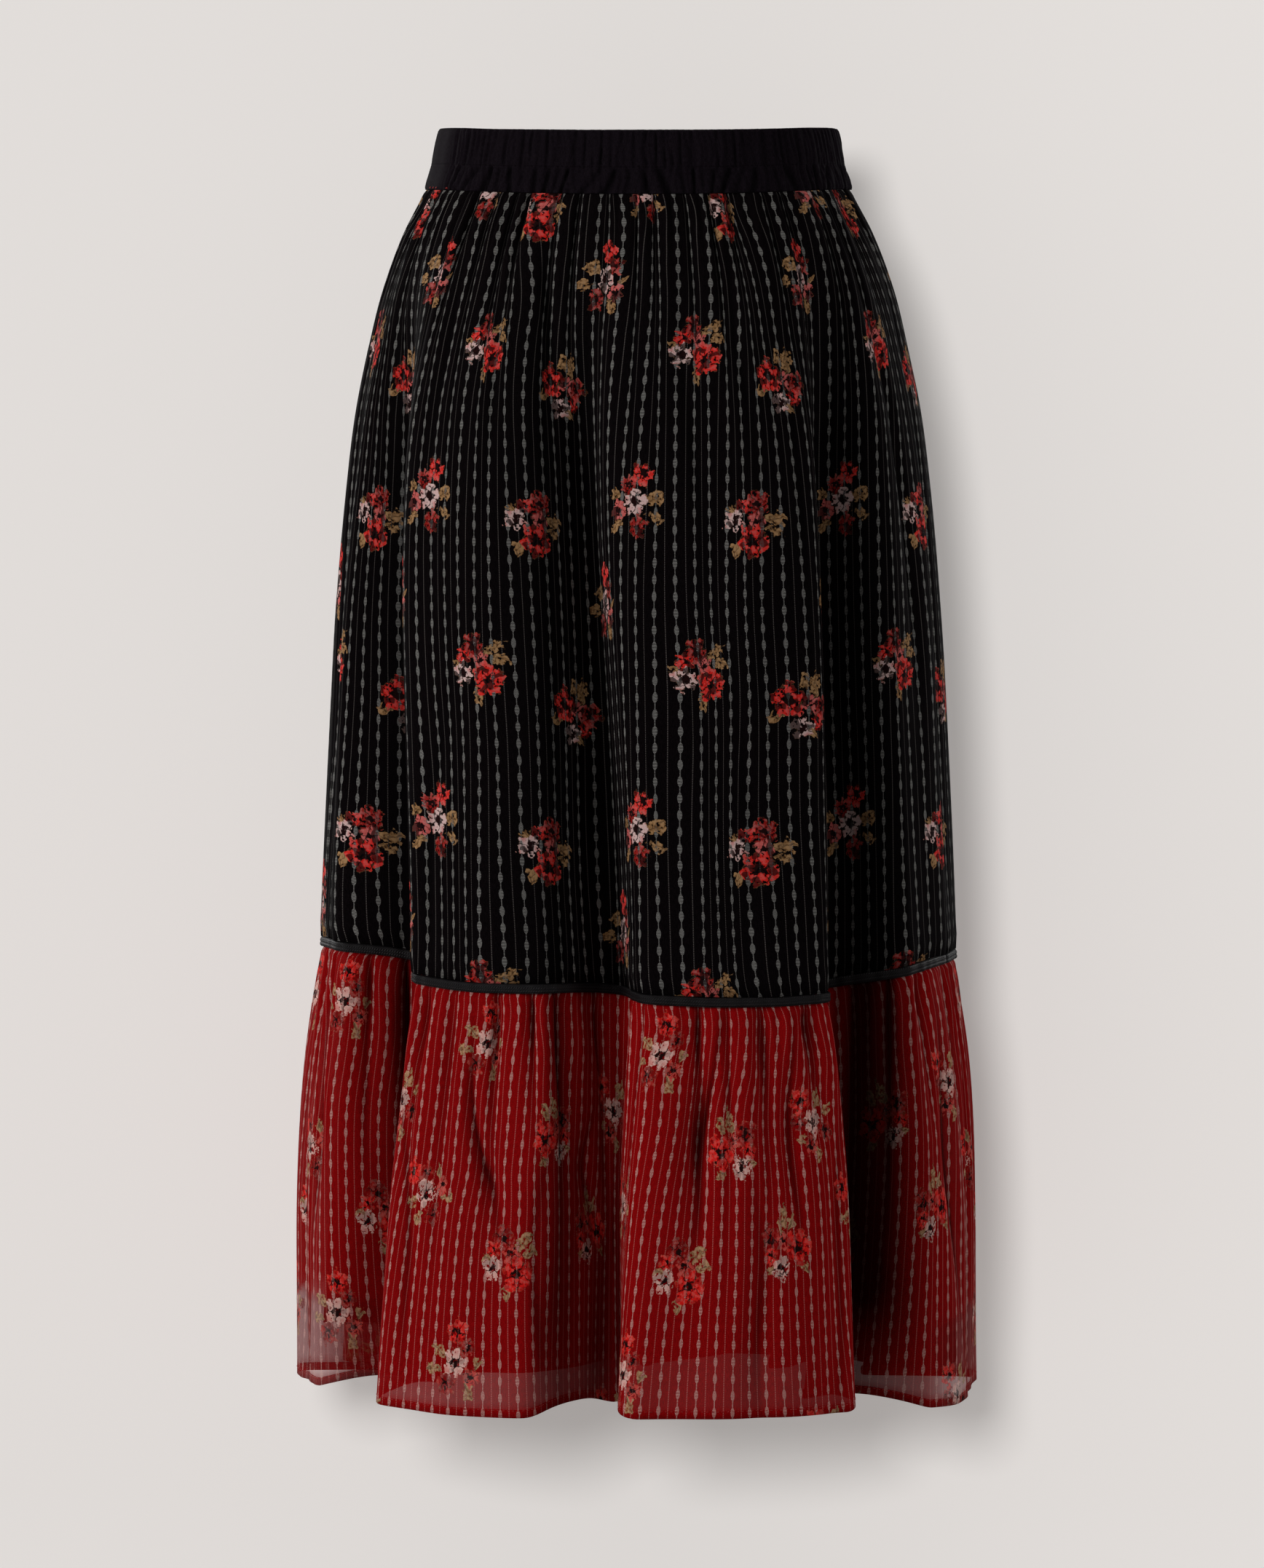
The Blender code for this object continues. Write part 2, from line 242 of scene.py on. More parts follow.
def flowing(at: np.ndarray, knots: np.ndarray, values: np.ndarray) -> np.ndarray:
    """A smooth curve through values at rising knots.

    Args:
        at: the places to read it at.
        knots: the places of the values.
        values: the values that the curve passes through.

    Returns:
        The curve's value at each place.
    """
    at = np.clip(at, knots[0], knots[-1])
    slopes = np.gradient(values, knots)
    piece = np.clip(np.searchsorted(knots, at, side="right") - 1, 0, len(knots) - 2)
    width = knots[piece + 1] - knots[piece]
    t = (at - knots[piece]) / width
    rise = t * t * (3.0 - 2.0 * t)
    start = values[piece] * (1.0 - rise)
    end = values[piece + 1] * rise
    lean_out = slopes[piece] * width * t * (1.0 - t) ** 2
    lean_in = slopes[piece + 1] * width * t * t * (1.0 - t)
    return start + end + lean_out - lean_in


def column(rows: Sequence[tuple], name: str) -> np.ndarray:
    """One named column of a table."""
    return np.array([getattr(row, name) for row in rows], dtype=float)


def swell(t: np.ndarray) -> np.ndarray:
    """A soft bump, 1 at 0 and flat at 0 from 1 and -1 outward."""
    return np.where(np.abs(t) < 1.0, np.cos(0.5 * math.pi * np.clip(t, -1.0, 1.0)) ** 2, 0.0)


def off_centre(azimuth: np.ndarray, centre: np.ndarray) -> np.ndarray:
    """Degrees from the centre to the azimuth, the short way round."""
    return (azimuth - centre + 0.5 * FULL_TURN) % FULL_TURN - 0.5 * FULL_TURN


def ease(value: np.ndarray, start: float, end: float) -> np.ndarray:
    """0 before start, 1 after end and a soft step between them."""
    t = np.clip((value - start) / (end - start), 0.0, 1.0)
    return t * t * (3.0 - 2.0 * t)


def within(value: np.ndarray, span: Span) -> np.ndarray:
    """1 between a span's two soft steps and 0 outside them."""
    return ease(value, *span[0]) * (1.0 - ease(value, *span[1]))


def fading(below: np.ndarray, fades: Fades) -> np.ndarray:
    """The size at distances below an edge, from pairs of a distance and a size."""
    knots, sizes = np.array(fades).T
    return flowing(below, knots, sizes)


def ripple(turn: np.ndarray, waves: Sequence[Wave]) -> np.ndarray:
    """The sum of the waves at places round the skirt, from 0 to 1 for a full turn."""
    total = np.zeros_like(turn)
    for wave in waves:
        total = total + wave.share * np.sin(2.0 * math.pi * (wave.cycles * turn + wave.start))
    return total


def uneven(number: np.ndarray, least: float, most: float, step: float) -> np.ndarray:
    """A steady but uneven value between least and most for each number."""
    return least + (most - least) * ((number * step) % 1.0)


@dataclass(frozen=True)
class SkirtForm:
    """The large form of the skirt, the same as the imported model's."""

    fold_start: float = -0.035
    hip: float = -0.200
    seam: float = -0.530
    hem: float = -0.800
    azimuth_top: float = -0.120
    lean_at: float = 0.85
    lean_reach: float = 0.70
    arc_steps: int = 200

    def edge(self, name: str, azimuth: np.ndarray) -> np.ndarray:
        """The height of a named edge at azimuths.

        Args:
            name: a column of the table of edges.
            azimuth: degrees from the front.

        Returns:
            Heights in metres, the same again after a full turn.
        """
        azimuths = column(EDGES, "azimuth")
        knots = np.concatenate((azimuths - FULL_TURN, azimuths, azimuths + FULL_TURN))
        return flowing(azimuth, knots, np.tile(column(EDGES, name), 3))

    def valley_azimuth(self, fold: Fold, height: np.ndarray) -> np.ndarray:
        """Where a valley lies at heights."""
        knots = np.array((self.hem, self.seam, self.azimuth_top))
        return flowing(height, knots, np.array((fold.hem, fold.seam, fold.waist), dtype=float))

    def valley_depth(self, fold: Fold, height: np.ndarray) -> np.ndarray:
        """How deep a valley is at heights."""
        knots = np.array((self.hem, self.seam, self.hip, self.fold_start, 0.0))
        depths = np.array((fold.hem_in, fold.seam_in, fold.hip_in, 0.0, 0.0))
        return np.maximum(flowing(height, knots, depths), 0.0)

    def folded(
        self, azimuth: np.ndarray, height: np.ndarray, inset: Optional[Sequence[np.ndarray]] = None
    ) -> tuple[np.ndarray, np.ndarray, np.ndarray]:
        """Points of the large form.

        Args:
            azimuth: degrees from the front.
            height: the height of each point.
            inset: the crest inset, floor inset and widening of a layer inside the outer cloth.

        Returns:
            x, y and how deep in a valley each point lies, from 0 on a crest to 1 on a floor.
        """
        crest_in, floor_in, widen = inset if inset is not None else (0.0, 0.0, 0.0)
        heights = column(SECTIONS, "height")
        across = flowing(height, heights, column(SECTIONS, "half_width")) - crest_in
        front = flowing(height, heights, column(SECTIONS, "front"))
        back = flowing(height, heights, column(SECTIONS, "back"))
        turn = np.radians(azimuth)
        along = np.where(np.cos(turn) > 0.0, front, back) - crest_in
        normal = np.stack((np.sin(turn) / across, -np.cos(turn) / along))
        normal = normal / np.hypot(normal[0], normal[1])
        out = np.zeros_like(turn)
        slide = np.zeros_like(turn)
        valley = np.zeros_like(turn)
        for number, fold in enumerate(FOLDS):
            after = FOLDS[(number + 1) % len(FOLDS)]
            centre = self.valley_azimuth(fold, height)
            offset = off_centre(azimuth, centre)
            t = offset / (np.where(offset < 0.0, fold.left, fold.right) + widen)
            depth = self.valley_depth(fold, height)
            share = depth / fold.hem_in
            out = out - np.maximum(depth - crest_in + floor_in, 0.0) * swell(t)
            lean = np.where(t < 0.0, fold.over_left, -fold.over_right) * share
            slide = slide + lean * swell((np.abs(t) - self.lean_at) / self.lean_reach)
            span = off_centre(self.valley_azimuth(after, height), centre) % FULL_TURN
            crown = swell(off_centre(azimuth, centre + 0.5 * span) / (0.5 * span))
            out = out + fold.crown * share * crown
            valley = np.maximum(valley, swell(t))
        x = across * np.sin(turn) + normal[0] * out - normal[1] * slide
        y = -along * np.cos(turn) + normal[1] * out + normal[0] * slide
        return x, y, valley

    def lining_inset(self, height: np.ndarray) -> list[np.ndarray]:
        """The lining's crest inset, floor inset and widening at heights."""
        heights = column(LINING_INSETS, "height")
        names = ("crest", "floor", "widen")
        return [flowing(height, heights, column(LINING_INSETS, name)) for name in names]

    def ring(
        self, top: Curve, bottom: Curve, share: float, counts: Sequence[int], lining: bool
    ) -> tuple[np.ndarray, np.ndarray]:
        """The columns of one ring, evenly spaced along the cloth between each two valleys.

        Args:
            top: heights of the piece's top edge by azimuth.
            bottom: heights of its bottom edge by azimuth.
            share: how far down the piece the ring lies, from 0 to 1.
            counts: columns between each valley and the next.
            lining: whether the ring is the lining's.

        Returns:
            Azimuths and heights of the columns.
        """

        def level(azimuth: np.ndarray) -> np.ndarray:
            """Heights of the ring at azimuths."""
            return top(azimuth) * (1.0 - share) + bottom(azimuth) * share

        starts = []
        for fold in FOLDS:
            height = level(np.array([float(fold.seam)]))
            starts.append(float(self.valley_azimuth(fold, height)[0]))
        azimuths = []
        for number, count in enumerate(counts):
            after = starts[(number + 1) % len(starts)]
            span = (after - starts[number]) % FULL_TURN
            steps = starts[number] + np.linspace(0.0, span, self.arc_steps)
            height = level(steps)
            inset = self.lining_inset(height) if lining else None
            x, y, _ = self.folded(steps, height, inset)
            run = np.concatenate(((0.0,), np.cumsum(np.hypot(np.diff(x), np.diff(y)))))
            places = np.linspace(0.0, run[-1], count + 1)[:-1]
            azimuths.append(np.interp(places, run, steps))
        azimuth = np.concatenate(azimuths)
        return azimuth, level(azimuth)


FORM = SkirtForm()
FOLD_NAMES = [fold.name for fold in FOLDS]
LEFT_SIDE_FOLD = FOLD_NAMES.index("left_back")
RIGHT_SIDE_FOLD = FOLD_NAMES.index("right_front")


class ClothGrid:
    """Rows and columns of points right round the skirt, with the flat cloth's coordinates."""

    def __init__(
        self,
        top: Curve,
        bottom: Curve,
        shares: np.ndarray,
        counts: Sequence[int],
        lining: bool = False,
    ) -> None:
        """Lays the rings of a piece on the large form.

        Args:
            top: heights of the piece's top edge by azimuth.
            bottom: heights of its bottom edge by azimuth.
            shares: how far down the piece each ring lies, rising from 0 to 1.
            counts: columns between each valley and the next.
            lining: whether the piece is the lining.
        """
        rings = [FORM.ring(top, bottom, share, counts, lining) for share in shares]
        self.counts = list(counts)
        self.azimuth = np.stack([ring[0] for ring in rings])
        self.z = np.stack([ring[1] for ring in rings])
        inset = FORM.lining_inset(self.z) if lining else None
        self.x, self.y, self.valley = FORM.folded(self.azimuth, self.z, inset)
        self.total = sum(counts)
        self.place = np.broadcast_to(np.arange(self.total) / self.total, self.z.shape)
        self.below = top(self.azimuth) - self.z
        self.above = self.z - bottom(self.azimuth)
        # Painted shade: how much darker each point's colour is drawn in gathers, valleys and
        # creases.
        self.painted_shade = np.zeros_like(self.z)

    def gather_place(self, gathers: Sequence[int]) -> np.ndarray:
        """Each column's place counted in gathers, from 0 to the number of gathers round.

        Args:
            gathers: how many gathers lie between each valley and the next.

        Returns:
            One place for each column.
        """
        places = []
        start = 0
        for count, number in zip(self.counts, gathers):
            places.append(start + np.arange(count) * number / count)
            start += number
        return np.concatenate(places)

    def outward(self) -> np.ndarray:
        """Level outward directions as an array of row, column and coordinate."""
        along_x = np.roll(self.x, -1, axis=1) - np.roll(self.x, 1, axis=1)
        along_y = np.roll(self.y, -1, axis=1) - np.roll(self.y, 1, axis=1)
        length = np.maximum(np.hypot(along_x, along_y), 1e-9)
        return np.stack((along_y / length, -along_x / length, np.zeros_like(length)), axis=-1)

    def push(self, amount: np.ndarray) -> None:
        """Moves every point outward by its amount, or inward where the amount is negative."""
        out = self.outward()
        self.x = self.x + out[..., 0] * amount
        self.y = self.y + out[..., 1] * amount

    def points(self) -> np.ndarray:
        """The points as an array of row, column and coordinate."""
        return np.stack((self.x, self.y, self.z), axis=-1)

    def paint_hollow_shade(self, cloth: Cloth) -> None:
        """Paints shade into the strips beside the valleys, where cloth lies close to cloth.

        Args:
            cloth: the cloth that the grid is.
        """
        for hollow in HOLLOW_SHADES:
            fold = FOLDS[hollow.fold]
            centre = FORM.valley_azimuth(fold, self.z) + hollow.offset
            away = off_centre(self.azimuth, centre) / hollow.width
            share = FORM.valley_depth(fold, self.z) / fold.seam_in
            dark = hollow.body if cloth is Cloth.BODY else hollow.flounce
            self.painted_shade = self.painted_shade + dark * np.minimum(share, 1.0) ** 0.7 * np.exp(-(away**2))

    def crease(self, cloth: Cloth) -> None:
        """Presses the creases of one cloth into the grid and paints shade into their troughs.

        Args:
            cloth: the cloth that the grid is.
        """
        amount = np.zeros_like(self.z)
        radius = np.hypot(self.x, self.y)
        for crease in CREASES[cloth]:
            down = (crease.height_top - self.z) / (crease.height_top - crease.height_low)
            sway = CREASE_SWAY * np.sin(2.4 * math.pi * down + crease.azimuth_top)
            turn = crease.azimuth_low - crease.azimuth_top
            line = crease.azimuth_top + turn * np.clip(down, -0.2, 1.2) + sway
            side = np.radians(off_centre(self.azimuth, line)) * radius
            narrow = crease.width * (0.55 + 0.4 * np.clip(down, 0.0, 1.0))
            run = swell(np.clip(2.0 * down - 1.0, -1.0, 1.0)) ** 0.7
            trough = np.exp(-((side / narrow) ** 2))
            amount = amount - CREASE_DEPTH * crease.depth * run * trough
            # Painted shade along the crease's trough.
            dark = min(crease.depth / CREASE_PAINTED_SHADE_AT, 1.0) * run**0.6
            self.painted_shade = self.painted_shade + dark * np.exp(-((side / (CREASE_PAINTED_SHADE_WIDTH * narrow)) ** 2))
        self.push(amount)

    def flat_coordinates(
        self, widths: Sequence[float], tucked: Optional[np.ndarray] = None, rate: float = 1.0
    ) -> np.ndarray:
        """The flat cloth's own coordinates at every point.

        Args:
            widths: the width of flat cloth between each valley and the next.
            tucked: how readily each step takes the cloth that its ring has to spare.
            rate: how much flat cloth a length of visible cloth holds where the rest is tucked.

        Returns:
            Distances across and down the flat cloth and the painted shade at each point, the first
            ring's column repeated at the end.
        """
        points = self.points()
        around = np.concatenate((points, points[:, :1]), axis=1)
        steps = np.linalg.norm(np.diff(around[..., :2], axis=1), axis=-1)
        across = np.zeros(around.shape[:2])
        first = 0
        start = 0.0
        for count, width in zip(self.counts, widths):
            part = steps[:, first : first + count]
            if tucked is not None:
                length = part.sum(axis=1, keepdims=True)
                weight = tucked[:, first : first + count] * part
                spare = np.maximum(width / rate - length, 0.0)
                taken = weight.sum(axis=1, keepdims=True) + 0.008 * length
                part = part + spare * weight / taken
            run = np.cumsum(part, axis=1)
            across[:, first + 1 : first + count + 1] = start + width * run / run[:, -1:]
            first += count
            start += width
        down_steps = np.linalg.norm(np.diff(around, axis=0), axis=-1)
        down = np.concatenate((np.zeros((1, around.shape[1])), np.cumsum(down_steps, axis=0)))
        painted_shade = np.concatenate((self.painted_shade, self.painted_shade[:, :1]), axis=1)
        return np.stack((across, down, np.minimum(painted_shade, 1.0)), axis=-1)

    def half(self, half: Half) -> tuple[list[int], np.ndarray]:
        """The columns of one half, from one side seam to the other.

        Args:
            half: which half.

        Returns:
            The columns' numbers, and 1 for each column that lies before the ring's start.
        """
        starts = np.concatenate(((0,), np.cumsum(self.counts)))
        left = int(starts[LEFT_SIDE_FOLD] + self.counts[LEFT_SIDE_FOLD] // 2)
        right = int(starts[RIGHT_SIDE_FOLD] + self.counts[RIGHT_SIDE_FOLD] // 2)
        if half is Half.FRONT:
            run = np.arange(left, right + self.total + 1)
            return [int(number % self.total) for number in run], (run < self.total).astype(float)
        run = np.arange(right, left + 1)
        return [int(number) for number in run], np.zeros(len(run))


class MeshMaker:
    """Makes the meshes of cloth pieces from grids of points."""

    @staticmethod
    def quads(rows: int, columns: int, start: int, inward: bool) -> np.ndarray:
        """The faces of one grid.

        Args:
            rows: rows of the grid.
            columns: points in each row.
            start: the number of the grid's first point.
            inward: whether the faces look at the inside of the skirt.

        Returns:
            Four point numbers for each face.
        """
        number = start + np.arange(rows * columns).reshape(rows, columns)
        a, b = number[:-1, :-1], number[:-1, 1:]
        c, d = number[1:, 1:], number[1:, :-1]
        order = (a, b, c, d) if inward else (a, d, c, b)
        return np.stack(order, axis=-1).reshape(-1, 4)

    @staticmethod
    def build(
        name: str, points: np.ndarray, faces: np.ndarray, flat: np.ndarray
    ) -> bpy.types.Object:
        """A mesh object of quads with the flat cloth's coordinates stored at its points.

        Args:
            name: the object's name.
            points: the points.
            faces: four point numbers for each face.
            flat: distances across and down the flat cloth and the painted shade at each point.

        Returns:
            The object, linked into the scene.
        """
        mesh = bpy.data.meshes.new(name)
        mesh.from_pydata(points.tolist(), [], faces.tolist())
        mesh.polygons.foreach_set("use_smooth", np.ones(len(mesh.polygons), dtype=bool))
        stored = mesh.attributes.new("cloth", "FLOAT_VECTOR", "POINT")
        stored.data.foreach_set("vector", np.asarray(flat, dtype=np.float32).ravel())
        mesh.update()
        made = bpy.data.objects.new(name, mesh)
        bpy.context.scene.collection.objects.link(made)
        return made

    @classmethod
    def single(cls, name: str, points: np.ndarray, flat: np.ndarray) -> bpy.types.Object:
        """One layer of cloth without thickness."""
        rows, columns = points.shape[:2]
        faces = cls.quads(rows, columns, 0, False)
        return cls.build(name, points.reshape(-1, 3), faces, flat.reshape(-1, 3))

    @classmethod
    def shell(
        cls, name: str, outer: np.ndarray, inner: np.ndarray, flat: np.ndarray
    ) -> bpy.types.Object:
        """A closed layer of cloth between an outer and an inner grid.

        Args:
            name: the object's name.
            outer: the outer grid's points by row and column.
            inner: the inner grid's points by row and column.
            flat: the flat cloth's coordinates by row and column.

        Returns:
            The object, linked into the scene.
        """
        rows, columns = outer.shape[:2]
        inside = rows * columns
        number = np.arange(inside).reshape(rows, columns)
        faces = [cls.quads(rows, columns, 0, False), cls.quads(rows, columns, inside, True)]
        rim = np.concatenate((number[0], number[1:, -1], number[-1, -2::-1], number[-2:0:-1, 0]))
        after = np.roll(rim, -1)
        faces.append(np.stack((rim, after, after + inside, rim + inside), axis=-1))
        points = np.concatenate((outer.reshape(-1, 3), inner.reshape(-1, 3)))
        both = np.concatenate((flat.reshape(-1, 3), flat.reshape(-1, 3)))
        return cls.build(name, points, np.concatenate(faces), both)


@dataclass
class Wiring:
    """Adds nodes to a tree and joins them, in few words."""

    tree: bpy.types.NodeTree

    def node(self, kind: str, **settings: object) -> bpy.types.Node:
        """A new node with its settings."""
        made = self.tree.nodes.new(kind)
        for name, value in settings.items():
            setattr(made, name, value)
        return made

    def feed(self, socket: bpy.types.NodeSocket, value: object) -> None:
        """Joins a socket to another, or sets its plain value."""
        if isinstance(value, bpy.types.NodeSocket):
            self.tree.links.new(value, socket)
        elif isinstance(value, (tuple, list)) and socket.type == "RGBA":
            socket.default_value = (*value[:3], 1.0)
        else:
            socket.default_value = value

    def math(self, operation: str, *values: Value, clamp: bool = False) -> bpy.types.NodeSocket:
        """The result of one step of arithmetic."""
        made = self.node("ShaderNodeMath", operation=operation, use_clamp=clamp)
        for socket, value in zip(made.inputs, values):
            self.feed(socket, value)
        return made.outputs[0]

    def vector(self, operation: str, *values: Triple) -> bpy.types.NodeSocket:
        """The vector that one step of vector arithmetic gives."""
        made = self.node("ShaderNodeVectorMath", operation=operation)
        for socket, value in zip(made.inputs, values):
            self.feed(socket, value)
        return made.outputs["Vector"]

    def length(self, vector: bpy.types.NodeSocket) -> bpy.types.NodeSocket:
        """The length of a vector."""
        made = self.node("ShaderNodeVectorMath", operation="LENGTH")
        self.feed(made.inputs[0], vector)
        return made.outputs["Value"]

    def parts(self, vector: bpy.types.NodeSocket) -> tuple[bpy.types.NodeSocket, ...]:
        """A vector's three parts."""
        made = self.node("ShaderNodeSeparateXYZ")
        self.feed(made.inputs[0], vector)
        return tuple(made.outputs)

    def step(self, value: Value, start: Value, end: Value) -> bpy.types.NodeSocket:
        """0 before start, 1 after end and a soft step between them."""
        made = self.node("ShaderNodeMapRange", interpolation_type="SMOOTHSTEP")
        self.feed(made.inputs["Value"], value)
        self.feed(made.inputs["From Min"], start)
        self.feed(made.inputs["From Max"], end)
        return made.outputs["Result"]

    def blend(self, share: Value, first: object, second: object) -> bpy.types.NodeSocket:
        """A colour between two others."""
        made = self.node("ShaderNodeMix", data_type="RGBA")
        self.feed(made.inputs["Factor"], share)
        self.feed(made.inputs[6], first)
        self.feed(made.inputs[7], second)
        return made.outputs[2]

    def between(self, share: Value, first: object, second: object) -> bpy.types.NodeSocket:
        """A vector between two others."""
        made = self.node("ShaderNodeMix", data_type="VECTOR")
        self.feed(made.inputs["Factor"], share)
        self.feed(made.inputs[4], first)
        self.feed(made.inputs[5], second)
        return made.outputs[1]

    def noise(
        self, vector: bpy.types.NodeSocket, scale: float, detail: float, dimensions: str = "3D"
    ) -> bpy.types.Node:
        """A noise node on a vector."""
        made = self.node("ShaderNodeTexNoise", noise_dimensions=dimensions)
        self.feed(made.inputs["Vector"], vector)
        made.inputs["Scale"].default_value = scale
        made.inputs["Detail"].default_value = detail
        return made

    def place(self, group: bpy.types.NodeTree, **values: object) -> bpy.types.Node:
        """A node group in this tree, its inputs named with _ for a space."""
        made = self.node("ShaderNodeGroup", node_tree=group)
        for name, value in values.items():
            self.feed(made.inputs[name.replace("_", " ")], value)
        return made


class Effect:
    """A shader node group that several materials use, built once."""

    name = "effect"
    takes: dict[str, str] = {}
    gives: dict[str, str] = {}

    def __init__(self) -> None:
        """Makes the group's sockets and fills it."""
        self.group = bpy.data.node_groups.new(self.name, "ShaderNodeTree")
        for name, kind in self.takes.items():
            self.group.interface.new_socket(name, in_out="INPUT", socket_type=kind)
        for name, kind in self.gives.items():
            self.group.interface.new_socket(name, in_out="OUTPUT", socket_type=kind)
        self.wiring = Wiring(self.group)
        self.inputs = self.wiring.node("NodeGroupInput").outputs
        self.outputs = self.wiring.node("NodeGroupOutput").inputs
        self.fill()

    def fill(self) -> None:
        """Adds the group's nodes."""


FLOAT = "NodeSocketFloat"
VECTOR = "NodeSocketVector"
COLOUR = "NodeSocketColor"


class CrepeGrain(Effect):
    """The pebbled face of crepe and the fine threads of plain cloth."""

    name = "crepe_grain"
    takes = {"Cloth": VECTOR, "Grain": FLOAT}
    gives = {"Height": FLOAT, "Tone": FLOAT}

    def fill(self) -> None:
        """Two noises, one stretched along the threads."""
        w = self.wiring
        scaled = w.node("ShaderNodeVectorMath", operation="SCALE")
        w.feed(scaled.inputs[0], self.inputs["Cloth"])
        w.feed(scaled.inputs["Scale"], self.inputs["Grain"])
        pebbles = w.noise(scaled.outputs["Vector"], 1.0, 2.0, "2D").outputs["Fac"]
        stretched = w.vector("MULTIPLY", scaled.outputs["Vector"], (1.6, 0.22, 1.0))
        threads = w.noise(stretched, 1.0, 1.0, "2D").outputs["Fac"]
        w.feed(self.outputs["Height"], w.math("ADD", pebbles, w.math("MULTIPLY", threads, 0.6)))
        w.feed(self.outputs["Tone"], w.math("MULTIPLY", pebbles, threads))


class BeadStripe(Effect):
    """A woven stripe of small rungs that swell into beads, with a dotted line halfway."""

    name = "bead_stripe"
    takes = {
        "Cloth": VECTOR,
        "Pitch": FLOAT,
        "Bead Period": FLOAT,
        "Bead Width": FLOAT,
        "Neck": FLOAT,
        "Line Width": FLOAT,
    }
    gives = {"Bead": FLOAT, "Line": FLOAT}

    def fill(self) -> None:
        """Masks of the beads and of the thin lines between them."""
        w = self.wiring
        across, down, _ = w.parts(self.inputs["Cloth"])
        half_pitch = w.math("MULTIPLY", self.inputs["Pitch"], 0.5)
        low = w.math("MULTIPLY", half_pitch, -1.0)
        side = w.math("ABSOLUTE", w.math("WRAP", across, half_pitch, low))
        half_period = w.math("MULTIPLY", self.inputs["Bead Period"], 0.5)
        low_period = w.math("MULTIPLY", half_period, -1.0)
        along = w.math("ABSOLUTE", w.math("WRAP", down, half_period, low_period))
        share = w.math("DIVIDE", along, half_period)
        room = w.math("MULTIPLY_ADD", w.math("MULTIPLY", share, share), -2.3, 1.0)
        oval = w.math("POWER", w.math("MAXIMUM", room, 0.0), 0.65)
        half_width = w.math("MULTIPLY", self.inputs["Bead Width"], 0.5)
        wide = w.math("MULTIPLY", w.math("MAXIMUM", oval, self.inputs["Neck"]), half_width)
        inside = w.step(w.math("SUBTRACT", wide, side), -0.12 * MM, 0.12 * MM)
        rung = w.math("PINGPONG", down, 0.45 * MM)
        rungs = w.step(rung, 0.15 * MM, 0.27 * MM)
        w.feed(self.outputs["Bead"], w.math("MULTIPLY", inside, rungs))
        halfway = w.math("SUBTRACT", half_pitch, side)
        edge = w.math("MULTIPLY", self.inputs["Line Width"], 0.5)
        thin = w.step(w.math("SUBTRACT", edge, halfway), -0.09 * MM, 0.09 * MM)
        dots = w.step(w.math("PINGPONG", down, 0.55 * MM), 0.16 * MM, 0.30 * MM)
        w.feed(self.outputs["Line"], w.math("MULTIPLY", thin, dots))


class PaintedBlossom(Effect):
    """One blossom of five rounded petals round a dark middle."""

    name = "painted_blossom"
    takes = {"Place": VECTOR, "Centre": VECTOR, "Radius": FLOAT, "Turn": FLOAT}
    gives = {"Petals": FLOAT, "Middle": FLOAT, "Tip": FLOAT, "Under": FLOAT}

    def fill(self) -> None:
        """Polar petals with dark slits between them."""
        w = self.wiring
        from_centre = w.vector("SUBTRACT", self.inputs["Place"], self.inputs["Centre"])
        right, down, _ = w.parts(from_centre)
        reach = w.math("DIVIDE", w.length(from_centre), self.inputs["Radius"])
        angle = w.math("ADD", w.math("ARCTAN2", down, right), self.inputs["Turn"])
        lobe = w.math("ABSOLUTE", w.math("COSINE", w.math("MULTIPLY", angle, 2.5)))
        soft_lobe = w.math("POWER", lobe, 0.55)
        edge = w.math("MULTIPLY_ADD", soft_lobe, 0.42, 0.56)
        inside = w.step(w.math("SUBTRACT", edge, reach), 0.0, 0.07)
        slit = w.step(w.math("ADD", lobe, w.math("MULTIPLY", reach, -0.50)), -0.16, 0.06)
        w.feed(self.outputs["Petals"], w.math("MULTIPLY", inside, slit))
        star = w.math("MULTIPLY", reach, w.math("MULTIPLY_ADD", lobe, 0.42, 0.58))
        w.feed(self.outputs["Middle"], w.math("SUBTRACT", 1.0, w.step(star, 0.21, 0.31)))
        w.feed(self.outputs["Tip"], w.step(w.math("MULTIPLY", reach, lobe), 0.30, 0.85))
        w.feed(self.outputs["Under"], w.step(w.math("SUBTRACT", 0.70, reach), 0.0, 0.10))


class PaintedLeaf(Effect):
    """One pointed leaf with a vein."""

    name = "painted_leaf"
    takes = {"Place": VECTOR, "Centre": VECTOR, "Length": FLOAT, "Width": FLOAT, "Turn": FLOAT}
    gives = {"Leaf": FLOAT, "Vein": FLOAT}

    def fill(self) -> None:
        """A pointed oval along the turned length."""
        w = self.wiring
        from_centre = w.vector("SUBTRACT", self.inputs["Place"], self.inputs["Centre"])
        turned = w.node("ShaderNodeVectorRotate", rotation_type="Z_AXIS")
        w.feed(turned.inputs["Vector"], from_centre)
        w.feed(turned.inputs["Angle"], self.inputs["Turn"])
        along, side, _ = w.parts(turned.outputs[0])
        share = w.math("DIVIDE", along, w.math("MULTIPLY", self.inputs["Length"], 0.5))
        squared = w.math("MULTIPLY", share, share)
        room = w.math("SUBTRACT", w.math("MULTIPLY_ADD", share, -0.22, 1.0), squared)
        half_width = w.math("MULTIPLY", self.inputs["Width"], 0.5)
        edge = w.math("MULTIPLY", room, half_width)
        away = w.math("ABSOLUTE", side)
        w.feed(self.outputs["Leaf"], w.step(w.math("SUBTRACT", edge, away), 0.0, 0.5 * MM))
        w.feed(self.outputs["Vein"], w.math("SUBTRACT", 1.0, w.step(away, 0.2 * MM, 0.7 * MM)))


